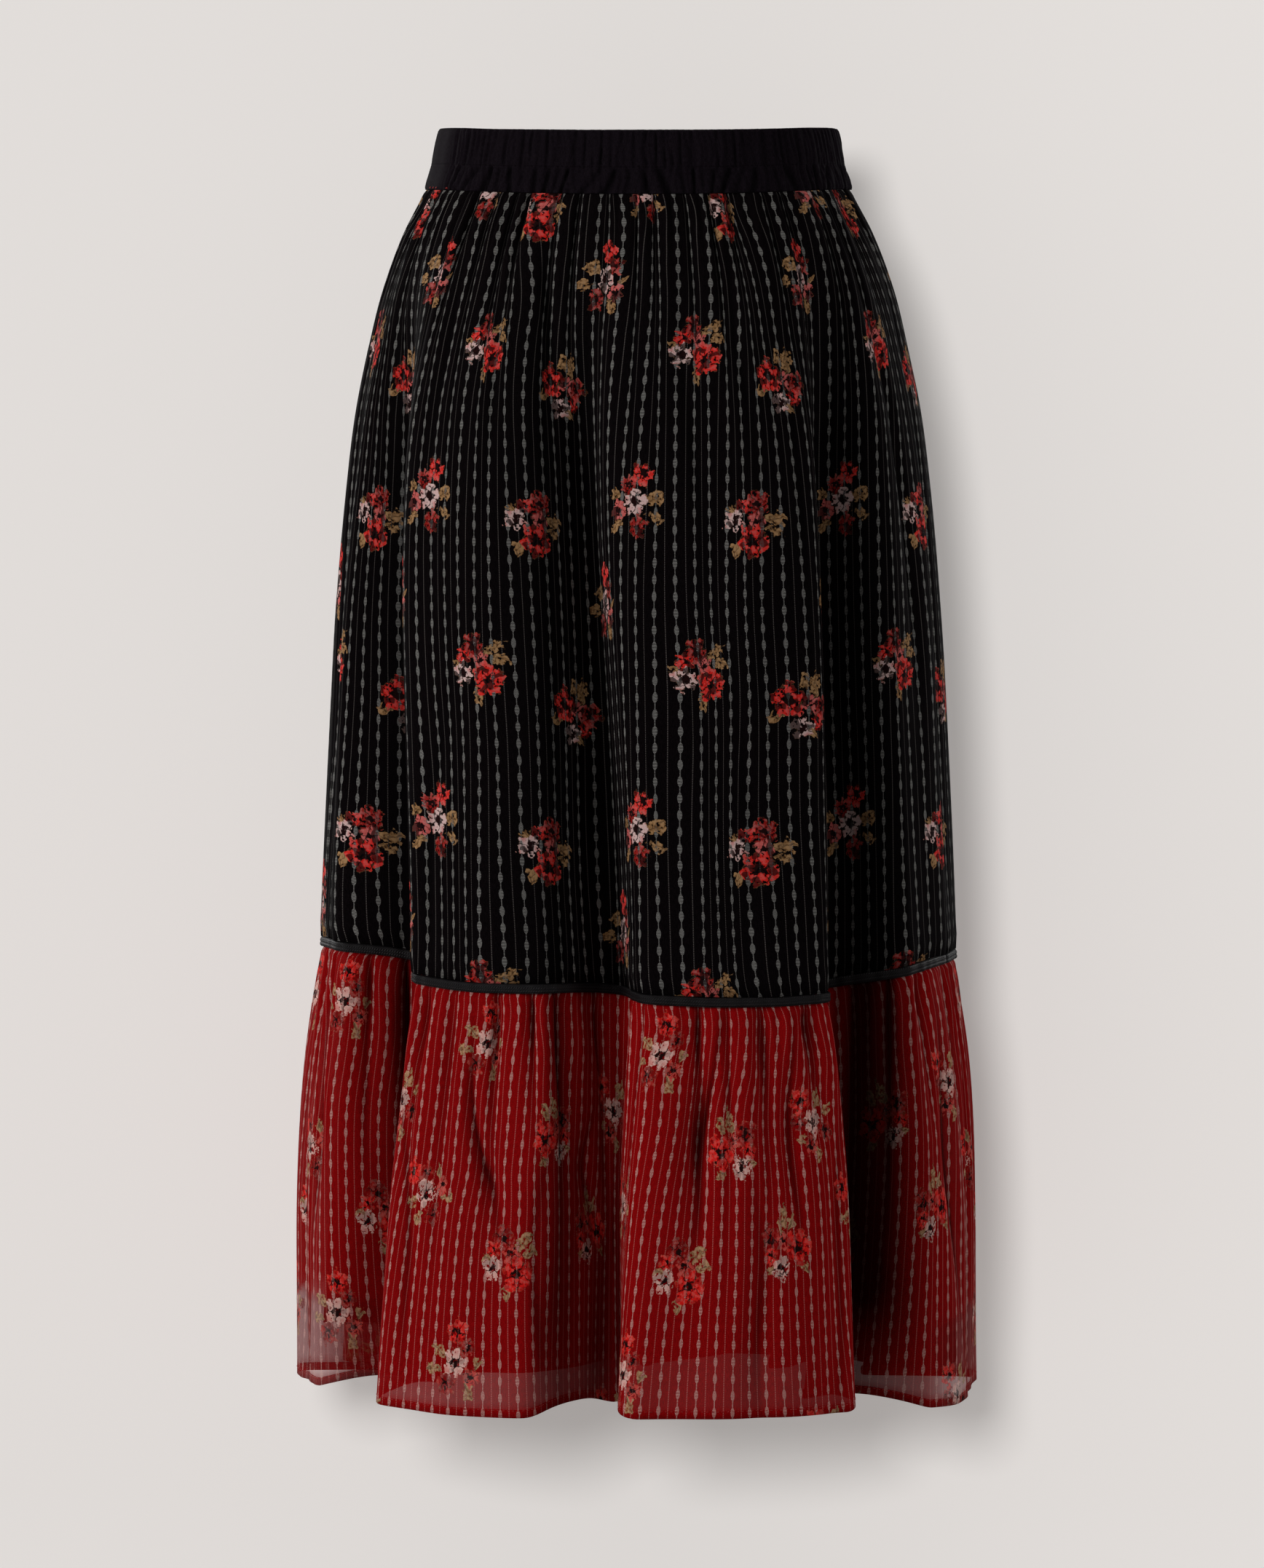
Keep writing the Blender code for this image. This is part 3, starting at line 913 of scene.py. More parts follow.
DEEP_SHARE = 0.62
BRUSH_WOBBLE = 9.5 * MM
POSY_BLOSSOMS = (
    Blossom(-4.0, -13.0, 8.8, 0.9, "Deep"),
    Blossom(-11.5, -6.0, 5.6, 2.1, "First"),
    Blossom(1.5, -4.0, 6.2, 1.7, "Second"),
    Blossom(-12.0, 4.5, 7.6, 0.4, "Third"),
    Blossom(6.0, 7.5, 11.4, 0.3, "First"),
)
SPRAY_BLOSSOMS = (
    Blossom(5.0, -15.5, 8.2, 0.2, "First"),
    Blossom(11.0, -5.0, 6.0, 1.4, "Deep"),
    Blossom(-8.5, 13.5, 7.4, 2.6, "Deep"),
    Blossom(9.5, 12.0, 6.6, 0.8, "Second"),
    Blossom(0.5, 1.5, 9.2, 1.1, "Third"),
)
POSY_LEAVES = (
    Leaf(11.5, -12.0, 17.0, 7.4, 0.55),
    Leaf(15.5, -5.0, 12.0, 6.0, 0.20),
    Leaf(-1.0, 19.0, 11.0, 7.0, -1.35),
    Leaf(-17.5, -1.0, 9.0, 5.4, 2.5),
)
SPRAY_LEAVES = (
    Leaf(-10.5, -7.5, 12.5, 9.0, 2.40),
    Leaf(-15.5, 3.5, 12.0, 6.4, -0.15),
    Leaf(6.5, 21.0, 12.0, 7.0, -1.20),
    Leaf(16.0, 4.0, 9.0, 5.6, 0.80),
)


class PaintedBunch(Effect):
    """A bunch of blossoms and leaves in loose brush strokes."""

    name = "painted_bunch"
    takes = {
        "Place": VECTOR,
        "Kind": FLOAT,
        "Size": FLOAT,
        "First": COLOUR,
        "Second": COLOUR,
        "Third": COLOUR,
        "Leaf": COLOUR,
        "Vein": COLOUR,
        "Middle": COLOUR,
        "Gaps": FLOAT,
    }
    gives = {"Color": COLOUR, "Mask": FLOAT}

    def __init__(self, blossom: Effect, leaf: Effect) -> None:
        """Keeps the two groups that the bunch is painted with.

        Args:
            blossom: the group that paints a blossom.
            leaf: the group that paints a leaf.
        """
        self.blossom = blossom.group
        self.leaf = leaf.group
        super().__init__()

    def either(self, rows: Sequence[tuple], names: Sequence[str]) -> bpy.types.NodeSocket:
        """Numbers of a posy's row or a spray's, by the kind of bunch, turned to metres."""
        millimetres = [[getattr(row, name) for name in names] for row in rows]
        numbers = [(*(part * MM for part in row), 0.0)[:3] for row in millimetres]
        return self.wiring.between(self.inputs["Kind"], *numbers)

    def tint(self, name: str) -> object:
        """The colour that a blossom's tint stands for."""
        if name == "Deep":
            return self.wiring.blend(DEEP_SHARE, self.inputs["First"], self.inputs["Middle"])
        return self.inputs[name]

    def paint(
        self,
        group: bpy.types.NodeTree,
        place: bpy.types.NodeSocket,
        rows: Sequence[tuple],
        sizes: Sequence[str],
    ) -> bpy.types.NodeInputs:
        """Paints one blossom or leaf.

        Args:
            group: the group that paints it.
            place: the place inside the bunch.
            rows: its row in the posy's table and in the spray's.
            sizes: the columns that give its sizes, turn among them.

        Returns:
            The group's outputs.
        """
        w = self.wiring
        parts = w.parts(self.either(rows, sizes))
        values = {name.title(): part for name, part in zip(sizes, parts)}
        values["Turn"] = w.math("MULTIPLY", values["Turn"], 1.0 / MM)
        centre = self.either(rows, ("right", "down"))
        return w.place(group, Place=place, Centre=centre, **values).outputs

    def fill(self) -> None:
        """Lays the leaves down, then the blossoms over them."""
        w = self.wiring
        sized = w.node("ShaderNodeVectorMath", operation="SCALE")
        w.feed(sized.inputs[0], self.inputs["Place"])
        w.feed(sized.inputs["Scale"], w.math("DIVIDE", 1.0, self.inputs["Size"]))
        point = sized.outputs["Vector"]
        wobble = w.vector("SUBTRACT", w.noise(point, 240.0, 2.0).outputs["Color"], (0.5,) * 3)
        wobble = w.vector("MULTIPLY", wobble, (BRUSH_WOBBLE, BRUSH_WOBBLE, 0.0))
        place = w.vector("ADD", w.vector("MULTIPLY", point, (1.0, 1.0, 0.0)), wobble)
        dabs = w.noise(point, 430.0, 2.0).outputs["Fac"]
        patches = w.noise(point, 150.0, 1.0).outputs["Fac"]
        middle = self.inputs["Middle"]
        mask: Value = 0.0
        colour: object = w.blend(w.step(dabs, 0.42, 0.62), self.inputs["Leaf"], self.inputs["Vein"])
        for rows in zip(POSY_LEAVES, SPRAY_LEAVES):
            painted = self.paint(self.leaf, place, rows, ("length", "width", "turn"))
            vein = w.math("MULTIPLY", painted["Vein"], painted["Leaf"])
            colour = w.blend(w.math("MULTIPLY", vein, 0.55), colour, middle)
            mask = w.math("MAXIMUM", mask, painted["Leaf"])
        patchy = w.math("MULTIPLY", w.step(dabs, 0.50, 0.60), 0.12)
        paler = w.step(patches, 0.50, 0.58)
        darker = w.math("MULTIPLY", w.step(patches, 0.475, 0.43), self.inputs["Gaps"])
        for rows in zip(POSY_BLOSSOMS, SPRAY_BLOSSOMS):
            painted = self.paint(self.blossom, place, rows, ("radius", "turn"))
            tint = w.blend(self.inputs["Kind"], *(self.tint(row.tint) for row in rows))
            share = w.math("MULTIPLY", painted["Tip"], paler)
            petals = w.blend(w.math("MULTIPLY", share, 0.55), tint, self.inputs["Second"])
            petals = w.blend(patchy, petals, self.inputs["Third"])
            petals = w.blend(darker, petals, middle)
            colour = w.blend(painted["Under"], colour, middle)
            colour = w.blend(painted["Petals"], colour, petals)
            colour = w.blend(painted["Middle"], colour, middle)
            covered = w.math("MAXIMUM", painted["Petals"], painted["Under"])
            mask = w.math("MAXIMUM", mask, covered)
        w.feed(self.outputs["Color"], colour)
        w.feed(self.outputs["Mask"], w.math("MULTIPLY", mask, w.step(dabs, 0.37, 0.43)))


@dataclass(frozen=True)
class Repeat:
    """How the bunches are set out on a cloth, in millimetres."""

    name: str
    width: float
    height: float
    size: float
    bunches: tuple[Bunch, ...]


BODY_REPEAT = Repeat(
    name="body_repeat",
    width=188.0,
    height=205.0,
    size=1.04,
    bunches=(
        Bunch(115.0, 105.0, 0.0, 0.0, 1.0),
        Bunch(184.0, 128.0, 0.0, 1.3, -1.0),
        Bunch(223.0, 57.0, 1.0, 0.1, 1.0),
        Bunch(74.0, -3.0, 1.0, 0.5, -1.0),
        Bunch(155.0, 14.0, 0.0, -0.6, 1.0),
    ),
)
FLOUNCE_REPEAT = Repeat(
    name="flounce_repeat",
    width=240.0,
    height=200.0,
    size=1.08,
    bunches=(
        Bunch(166.0, 30.0, 1.0, 0.2, 1.0),
        Bunch(244.0, 88.0, 0.0, 0.6, -1.0),
        Bunch(206.0, 167.0, 0.0, 0.0, 1.0),
        Bunch(322.0, 72.0, 1.0, -0.5, -1.0),
        Bunch(290.0, 150.0, 0.0, 0.9, 1.0),
        Bunch(125.0, 128.0, 1.0, 1.2, 1.0),
    ),
)


class BunchSpread(Effect):
    """Finds the nearest bunch of a repeat, the place inside it and its kind."""

    takes = {"Cloth": VECTOR}
    gives = {"Place": VECTOR, "Kind": FLOAT}

    def __init__(self, repeat: Repeat) -> None:
        """Keeps the repeat that the group sets out.

        Args:
            repeat: where the bunches lie.
        """
        self.repeat = repeat
        self.name = repeat.name
        super().__init__()

    def fill(self) -> None:
        """Wraps the cloth onto one repeat for each bunch and keeps the nearest."""
        w = self.wiring
        repeat = self.repeat
        half = (0.5 * repeat.width * MM, 0.5 * repeat.height * MM, 1.0)
        flat = w.vector("MULTIPLY", self.inputs["Cloth"], (1.0, 1.0, 0.0))
        nearest: Value = 10.0
        kind: Value = 0.0
        place: object = (1.0, 1.0, 0.0)
        for number, bunch in enumerate(repeat.bunches):
            moved = w.vector("SUBTRACT", flat, (bunch.right * MM, bunch.down * MM, 0.0))
            wrapped = w.vector("WRAP", moved, half, tuple(-part for part in half))
            away = w.length(wrapped)
            mirrored = w.vector("MULTIPLY", wrapped, (bunch.mirror, 1.0, 1.0))
            turned = w.node("ShaderNodeVectorRotate", rotation_type="Z_AXIS")
            w.feed(turned.inputs["Vector"], mirrored)
            turned.inputs["Angle"].default_value = bunch.turn
            local = w.vector("ADD", turned.outputs[0], (0.0, 0.0, 0.05 * number))
            nearer = w.math("LESS_THAN", away, nearest)
            place = w.between(nearer, place, local)
            change = w.math("MULTIPLY", nearer, w.math("SUBTRACT", bunch.kind, kind))
            kind = w.math("ADD", kind, change)
            nearest = w.math("MINIMUM", nearest, away)
        w.feed(self.outputs["Place"], place)
        w.feed(self.outputs["Kind"], kind)


@dataclass
class Effects:
    """The node groups that the finishes share."""

    grain: Effect
    stripe: Effect
    bunch: Effect
    spreads: dict[str, Effect]

    @classmethod
    def build(cls) -> "Effects":
        """Builds every group once."""
        bunch = PaintedBunch(PaintedBlossom(), PaintedLeaf())
        spreads = {repeat.name: BunchSpread(repeat) for repeat in (BODY_REPEAT, FLOUNCE_REPEAT)}
        return cls(grain=CrepeGrain(), stripe=BeadStripe(), bunch=bunch, spreads=spreads)


@dataclass(frozen=True)
class Finish:
    """Makes a material; each kind of finish adds its own nodes."""

    name: str
    roughness: float
    specular: float

    def start(self) -> tuple[bpy.types.Material, Wiring, bpy.types.NodeSocket]:
        """A new material with its wiring and the flat cloth's coordinates stored at its points."""
        made = bpy.data.materials.new(self.name)
        made.use_nodes = True
        wiring = Wiring(made.node_tree)
        return made, wiring, wiring.node("ShaderNodeAttribute", attribute_name="cloth").outputs[1]

    def with_painted_shade(
        self, wiring: Wiring, cloth: bpy.types.NodeSocket, colour: Value, most: float
    ) -> bpy.types.NodeSocket:
        """The colour with painted shade, darker by up to the most in gathers, valleys and creases.
        """
        painted_shade = wiring.math("MAXIMUM", wiring.parts(cloth)[2], 0.0)
        return wiring.blend(wiring.math("MULTIPLY", painted_shade, most), colour, (0.0, 0.0, 0.0))

    def end(
        self,
        wiring: Wiring,
        colour: Value,
        gloss: tuple[Value, float],
        bump: tuple[Value, float, float],
    ) -> bpy.types.Node:
        """Wires the finish into the material's own shader.

        Args:
            wiring: the material's wiring.
            colour: the base colour.
            gloss: a mask, and how much it adds to the roughness.
            bump: a height, its distance in metres and its strength.

        Returns:
            The shader.
        """
        shader = wiring.tree.nodes["Principled BSDF"]
        rough = wiring.math("MULTIPLY_ADD", *gloss, self.roughness)
        wiring.feed(shader.inputs["Base Color"], colour)
        wiring.feed(shader.inputs["Roughness"], rough)
        shader.inputs["Specular IOR Level"].default_value = self.specular
        raised = wiring.node("ShaderNodeBump")
        wiring.feed(raised.inputs["Height"], bump[0])
        raised.inputs["Distance"].default_value = bump[1]
        raised.inputs["Strength"].default_value = bump[2]
        wiring.feed(shader.inputs["Normal"], raised.outputs["Normal"])
        return shader


@dataclass(frozen=True)
class CrepeFinish(Finish):
    """Plain crepe or satin in one dye."""

    dark: Colour
    light: Colour
    grain: float
    relief: float

    def make(self, effects: Effects) -> bpy.types.Material:
        """The material."""
        made, w, cloth = self.start()
        grain = w.place(effects.grain.group, Cloth=cloth, Grain=self.grain)
        tone = w.step(grain.outputs["Tone"], 0.14, 0.40)
        # Painted shade darkens the band's and the lining's colour in gathers and creases.
        colour = self.with_painted_shade(w, cloth, w.blend(tone, self.dark, self.light), 0.85)
        self.end(w, colour, (tone, -0.12), (grain.outputs["Height"], self.relief, 0.9))
        return made


@dataclass(frozen=True)
class PrintFinish(Finish):
    """Striped cloth with printed bunches, sheer where see_through is above 0."""

    ground_dark: Colour
    ground_light: Colour
    thread: Colour
    line: Colour
    first: Colour
    second: Colour
    third: Colour
    leaf: Colour
    vein: Colour
    middle: Colour
    gaps: float
    repeat: Repeat
    bead_width: float
    neck: float
    line_width: float
    see_through: float
    stripe_pitch: float = 0.0125
    bead_period: float = 0.0105
    weave: float = 1500.0
    relief: float = 0.00012

    def make(self, effects: Effects) -> bpy.types.Material:
        """The material."""
        made, w, cloth = self.start()
        spread = w.place(effects.spreads[self.repeat.name].group, Cloth=cloth)
        paints = ("first", "second", "third", "leaf", "vein", "middle", "gaps")
        bunch = w.place(
            effects.bunch.group,
            Place=spread.outputs["Place"],
            Kind=spread.outputs["Kind"],
            Size=self.repeat.size,
            **{paint.title(): getattr(self, paint) for paint in paints},
        )
        stripe = w.place(
            effects.stripe.group,
            Cloth=cloth,
            Pitch=self.stripe_pitch,
            Bead_Period=self.bead_period,
            Bead_Width=self.bead_width,
            Neck=self.neck,
            Line_Width=self.line_width,
        )
        bead, line = stripe.outputs["Bead"], stripe.outputs["Line"]
        printed = bunch.outputs["Mask"]
        grain = w.place(effects.grain.group, Cloth=cloth, Grain=self.weave)
        tone = w.step(grain.outputs["Tone"], 0.12, 0.42)
        colour = w.blend(tone, self.ground_dark, self.ground_light)
        colour = w.blend(printed, colour, bunch.outputs["Color"])
        woven = w.math("MULTIPLY_ADD", printed, -0.75, 1.0)
        colour = w.blend(w.math("MULTIPLY", line, woven), colour, self.line)
        colour = w.blend(w.math("MULTIPLY", bead, woven), colour, self.thread)
        # Painted shade darkens the print in gathers, valleys and creases.
        colour = self.with_painted_shade(w, cloth, colour, 0.93)
        raised = w.math("ADD", bead, w.math("MULTIPLY", line, 0.5))
        height = w.math("ADD", w.math("MULTIPLY", grain.outputs["Height"], 0.35), raised)
        shader = self.end(w, colour, (printed, -0.08), (height, self.relief, 0.8))
        if self.see_through > 0.0:
            thick = w.math("MAXIMUM", printed, bead)
            open_weave = w.math("MULTIPLY_ADD", thick, -0.6, 1.0)
            sheer = w.node("ShaderNodeAttribute", attribute_name="sheer").outputs["Fac"]
            share = w.math("MULTIPLY", w.math("MULTIPLY", open_weave, sheer), self.see_through)
            w.feed(shader.inputs["Alpha"], w.math("SUBTRACT", 1.0, share, clamp=True))
        return made


@dataclass(frozen=True)
class CordFinish(Finish):
    """Black corded tape, three twisted cords side by side, lighter on the raised strands as a
    painted highlight and darker in the grooves as painted shade.
    """

    dark: Colour
    light: Colour
    cord: float
    twist: float

    def make(self, effects: Effects) -> bpy.types.Material:
        """The material."""
        made, w, cloth = self.start()
        across, down, _ = w.parts(cloth)
        slant = w.math("ADD", across, w.math("MULTIPLY", down, 0.8))
        strand = w.math("PINGPONG", slant, 0.5 * self.twist)
        strand = w.step(strand, 0.0, 0.4 * self.twist)
        row = w.step(w.math("PINGPONG", down, 0.5 * self.cord), 0.0, 0.35 * self.cord)
        height = w.math("MULTIPLY", strand, row)
        # The raised strands take the painted highlight, the grooves the painted shade.
        self.end(w, w.blend(height, self.dark, self.light), (height, -0.15), (height, 0.0005, 1.0))
        return made


@dataclass(frozen=True)
class ThreadFinish(Finish):
    """Sewing thread of one dye, twisted, lighter on each strand as a painted highlight and dark in
    the grooves as painted shade.
    """

    dark: Colour
    light: Colour

    def make(self, effects: Effects) -> bpy.types.Material:
        """The material."""
        made, w, cloth = self.start()
        along, side, _ = w.parts(cloth)
        twist = w.math("PINGPONG", w.math("ADD", along, side), 0.25 * MM)
        strand = w.step(twist, 0.0, 0.2 * MM)
        # Painted highlight on the strands and painted shade in the grooves of the twist.
        self.end(w, w.blend(strand, self.dark, self.light), (strand, -0.1), (strand, 0.0001, 0.8))
        return made


BLACK_CREPE = CrepeFinish(
    name="waistband_crepe",
    dark=(0.0030, 0.0019, 0.0028),
    light=(0.0085, 0.0058, 0.0086),
    grain=1900.0,
    relief=0.00030,
    roughness=0.92,
    specular=0.025,
)
DARK_LINING = CrepeFinish(
    name="lining_satin",
    dark=(0.0060, 0.0030, 0.0034),
    light=(0.0110, 0.0050, 0.0056),
    grain=2400.0,
    relief=0.00010,
    roughness=0.60,
    specular=0.06,
)
BLACK_PRINT = PrintFinish(
    name="body_print",
    ground_dark=(0.0012, 0.0007, 0.0009),
    ground_light=(0.0034, 0.0021, 0.0026),
    thread=(0.190, 0.184, 0.174),
    line=(0.075, 0.066, 0.062),
    first=(0.500, 0.016, 0.012),
    second=(0.400, 0.075, 0.068),
    third=(0.480, 0.330, 0.310),
    leaf=(0.170, 0.086, 0.034),
    vein=(0.280, 0.160, 0.075),
    middle=(0.010, 0.003, 0.003),
    gaps=0.86,
    repeat=BODY_REPEAT,
    bead_width=0.0026,
    neck=0.20,
    line_width=0.00045,
    see_through=0.0,
    roughness=0.90,
    specular=0.018,
)
RED_PRINT = PrintFinish(
    name="flounce_print",
    ground_dark=(0.148, 0.0011, 0.0016),
    ground_light=(0.232, 0.0024, 0.0031),
    thread=(0.480, 0.270, 0.240),
    line=(0.340, 0.085, 0.076),
    first=(0.520, 0.010, 0.008),
    second=(0.400, 0.040, 0.032),
    third=(0.540, 0.320, 0.280),
    leaf=(0.215, 0.105, 0.048),
    vein=(0.345, 0.200, 0.112),
    middle=(0.012, 0.003, 0.003),
    gaps=0.38,
    repeat=FLOUNCE_REPEAT,
    bead_width=0.0027,
    neck=0.28,
    line_width=0.0007,
    see_through=0.08,
    roughness=0.85,
    specular=0.012,
)
# light is the painted highlight on the raised strands, dark the painted shade in the grooves.
BLACK_CORD = CordFinish(
    name="seam_tape_cord",
    dark=(0.0020, 0.0015, 0.0018),
    light=(0.0080, 0.0062, 0.0070),
    cord=0.0020,
    twist=0.0016,
    roughness=0.65,
    specular=0.15,
)
# light is the painted highlight on the twist, dark the painted shade between the strands.
BLACK_THREAD = ThreadFinish(
    name="black_thread",
    dark=(0.0006, 0.0004, 0.0005),
    light=(0.0020, 0.0015, 0.0018),
    roughness=0.85,
    specular=0.02,
)
# light is the painted highlight on the twist, dark the painted shade between the strands.
RED_THREAD = ThreadFinish(
    name="red_thread",
    dark=(0.160, 0.006, 0.006),
    light=(0.460, 0.030, 0.024),
    roughness=0.55,
    specular=0.3,
)

CREASES = {
    Cloth.FLOUNCE: (
        Crease(-29.7, -0.545, -23.5, -0.690, 0.0070, 0.0075),
        Crease(14.0, -0.540, 7.5, -0.705, 0.0080, 0.0080),
        Crease(26.3, -0.540, 25.4, -0.700, 0.0060, 0.0065),
        Crease(-10.5, -0.600, -12.0, -0.700, 0.0045, 0.0050),
        Crease(-40.0, -0.560, -38.0, -0.790, 0.0090, 0.0050),
        Crease(-17.0, -0.600, -18.5, -0.830, 0.0100, 0.0045),
        Crease(18.5, -0.640, 20.5, -0.840, 0.0110, 0.0050),
        Crease(34.0, -0.580, 31.0, -0.830, 0.0080, 0.0045),
        Crease(64.0, -0.530, 68.0, -0.760, 0.0090, 0.0080),
        Crease(76.0, -0.560, 79.0, -0.850, 0.0120, 0.0085),
        Crease(90.0, -0.530, 88.0, -0.720, 0.0080, 0.0070),
        Crease(124.0, -0.550, 126.0, -0.830, 0.0100, 0.0060),
        Crease(160.0, -0.540, 157.0, -0.740, 0.0080, 0.0070),
        Crease(168.0, -0.620, 166.0, -0.840, 0.0090, 0.0050),
        Crease(196.0, -0.540, 200.0, -0.770, 0.0085, 0.0075),
        Crease(232.0, -0.550, 236.0, -0.800, 0.0100, 0.0070),
        Crease(-94.0, -0.530, -92.0, -0.740, 0.0090, 0.0075),
        Crease(-82.0, -0.570, -80.0, -0.850, 0.0115, 0.0080),
        Crease(-72.0, -0.530, -74.0, -0.700, 0.0070, 0.0060),
    ),
    Cloth.BODY: (
        Crease(-45.0, -0.020, -42.0, -0.250, 0.0060, 0.0035),
        Crease(-33.0, -0.020, -29.0, -0.340, 0.0070, 0.0030),
        Crease(-22.0, -0.020, -20.0, -0.190, 0.0055, 0.0035),
        Crease(8.0, -0.020, 12.0, -0.300, 0.0070, 0.0032),
        Crease(20.0, -0.020, 22.0, -0.220, 0.0055, 0.0034),
        Crease(33.0, -0.020, 30.0, -0.380, 0.0080, 0.0034),
        Crease(60.0, -0.020, 66.0, -0.400, 0.0080, 0.0045),
        Crease(74.0, -0.020, 78.0, -0.560, 0.0110, 0.0055),
        Crease(92.0, -0.020, 90.0, -0.330, 0.0080, 0.0045),
        Crease(126.0, -0.020, 125.0, -0.300, 0.0070, 0.0035),
        Crease(160.0, -0.020, 161.0, -0.420, 0.0080, 0.0038),
        Crease(197.0, -0.020, 196.0, -0.260, 0.0065, 0.0036),
        Crease(234.0, -0.020, 233.0, -0.360, 0.0080, 0.0040),
        Crease(-92.0, -0.020, -90.0, -0.300, 0.0080, 0.0045),
        Crease(-80.0, -0.020, -78.0, -0.560, 0.0110, 0.0055),
        Crease(-36.0, -0.330, -40.0, -0.560, 0.0100, 0.0030),
        Crease(17.0, -0.300, 20.0, -0.560, 0.0110, 0.0030),
    ),
    Cloth.LINING: (
        Crease(-30.0, -0.300, -26.0, -0.780, 0.0120, 0.0040),
        Crease(22.0, -0.250, 18.0, -0.780, 0.0120, 0.0040),
        Crease(78.0, -0.200, 82.0, -0.780, 0.0140, 0.0050),
        Crease(-84.0, -0.200, -80.0, -0.780, 0.0140, 0.0050),
        Crease(160.0, -0.300, 158.0, -0.780, 0.0120, 0.0040),
        Crease(198.0, -0.260, 202.0, -0.780, 0.0120, 0.0040),
    ),
}

# Strips of painted shade beside the valleys.
HOLLOW_SHADES = (
    HollowShade(0, -5.5, 3.4, 0.55, 0.60),
    HollowShade(1, -10.0, 1.9, 0.50, 0.68),
    HollowShade(1, -14.0, 4.5, 0.40, 0.0),
    HollowShade(1, 0.5, 2.2, 0.50, 0.0),
    HollowShade(2, 7.0, 5.4, 0.90, 1.05),
    HollowShade(3, 6.5, 4.2, 0.60, 0.65),
    HollowShade(4, -8.0, 3.2, 0.60, 0.60),
    HollowShade(5, 7.0, 3.4, 0.55, 0.70),
    HollowShade(6, -6.0, 4.4, 0.60, 0.55),
    HollowShade(7, 5.5, 3.8, 0.55, 0.60),
)
GATHER_DRIFT = (Wave(19, 0.20, 0.1), Wave(7, 0.16, 0.45), Wave(31, 0.06, 0.7))
FINE_WAVES = (Wave(131, 0.45, 0.0), Wave(173, 0.35, 0.3), Wave(97, 0.40, 0.6))
FINE_CALM = (Wave(13, 0.5, 0.2), Wave(29, 0.5, 0.9))
BAND_WAVES = (Wave(211, 0.5, 0.1), Wave(157, 0.5, 0.4), Wave(61, 0.6, 0.8))
LONG_WAVES = (Wave(23, 0.45, 0.2), Wave(37, 0.35, 0.7), Wave(14, 0.40, 0.5))


@dataclass
class GatheredCloth:
    """A cloth gathered into a seam above it and falling in soft ripples."""

    cloth: Cloth
    gathers: tuple[int, ...]
    rows: int
    row_ease: float
    depth: Fades
    fine: Fades
    long: Fades
    tuck: Fades
    tucked: Fades
    columns_per_gather: int = 16
    reach_least: float = 0.50
    reach_most: float = 1.50
    reach_step: float = 0.618
    depth_least: float = 0.35
    depth_most: float = 1.00
    depth_step: float = 0.381
    trough_sharpness: float = 1.35
    groove: float = 0.085
    # The gather depth that takes the full painted shade.
    painted_shade_depth: float = 0.0070
    fans_over: float = 0.05

    def lay(self, top: Curve, bottom: Curve) -> ClothGrid:
        """The cloth's smooth ring between two edges, its rows closest at the gathers."""
        counts = [number * self.columns_per_gather for number in self.gathers]
        shares = np.linspace(0.0, 1.0, self.rows) ** self.row_ease
        return ClothGrid(top, bottom, shares, counts)

    def drape(self, grid: ClothGrid) -> np.ndarray:
        """Presses gathers, fine puckers, long ripples and creases into a grid and paints shade into
        their troughs.

        Args:
            grid: the grid of the piece, changed in place.

        Returns:
            How readily each point takes spare cloth, most at the bottom of a gather.
        """
        number = float(sum(self.gathers))
        count = grid.gather_place(self.gathers)
        drift = ripple(count / number, GATHER_DRIFT)
        place = count + drift
        gather = np.floor(place) % number
        reach = uneven(gather, self.reach_least, self.reach_most, self.reach_step)
        deep = uneven(gather, self.depth_least, self.depth_most, self.depth_step)
        inward = place - np.floor(place) - 0.5
        sharp = np.exp(-((inward / self.groove) ** 2))
        spread = self.groove * (1.0 + np.maximum(grid.below, 0.0) / self.fans_over)
        wave = (0.5 - 0.5 * np.cos(2.0 * math.pi * place)) ** self.trough_sharpness
        near = np.maximum(grid.below, 0.0) / reach
        sunk = deep * fading(near, self.depth)
        amount = -(0.6 * wave + 0.4 * sharp) * sunk
        # Painted shade in the gathers' troughs.
        grid.painted_shade = grid.painted_shade + np.minimum(sunk / self.painted_shade_depth, 1.0) * sharp
        calm = 0.55 + 0.45 * ripple(grid.place, FINE_CALM)
        sway = 0.0035 * np.sin(grid.below * 90.0 + 40.0 * grid.place)
        fine = ripple(grid.place + sway * fading(grid.below, self.fine), FINE_WAVES)
        amount = amount + fine * calm * fading(grid.below, self.fine)
        slow = 0.004 * np.sin(grid.below * 14.0 + 9.0)
        long = (1.0 - 0.8 * grid.valley) * ripple(grid.place + slow, LONG_WAVES)
        amount = amount + long * fading(grid.below, self.long)
        amount = amount - fading(grid.below, self.tuck)
        grid.push(amount)
        grid.crease(self.cloth)
        return np.exp(-((inward / spread) ** 2)) * deep * fading(near, self.tucked)


def fold_widths(height: Curve, scale: float) -> list[float]:
    """The width of flat cloth between each valley and the next, from the large form's length.

    Args:
        height: the heights at which the large form is measured, by azimuth.
        scale: how many times that length the flat cloth is.

    Returns:
        One width for each fold.
    """
    azimuth, _ = FORM.ring(height, height, 0.0, [120] * len(FOLDS), False)
    x, y, _ = FORM.folded(azimuth, height(azimuth))
    steps = np.hypot(np.roll(x, -1) - x, np.roll(y, -1) - y).reshape(len(FOLDS), -1)
    return [float(width) * scale for width in steps.sum(axis=1)]


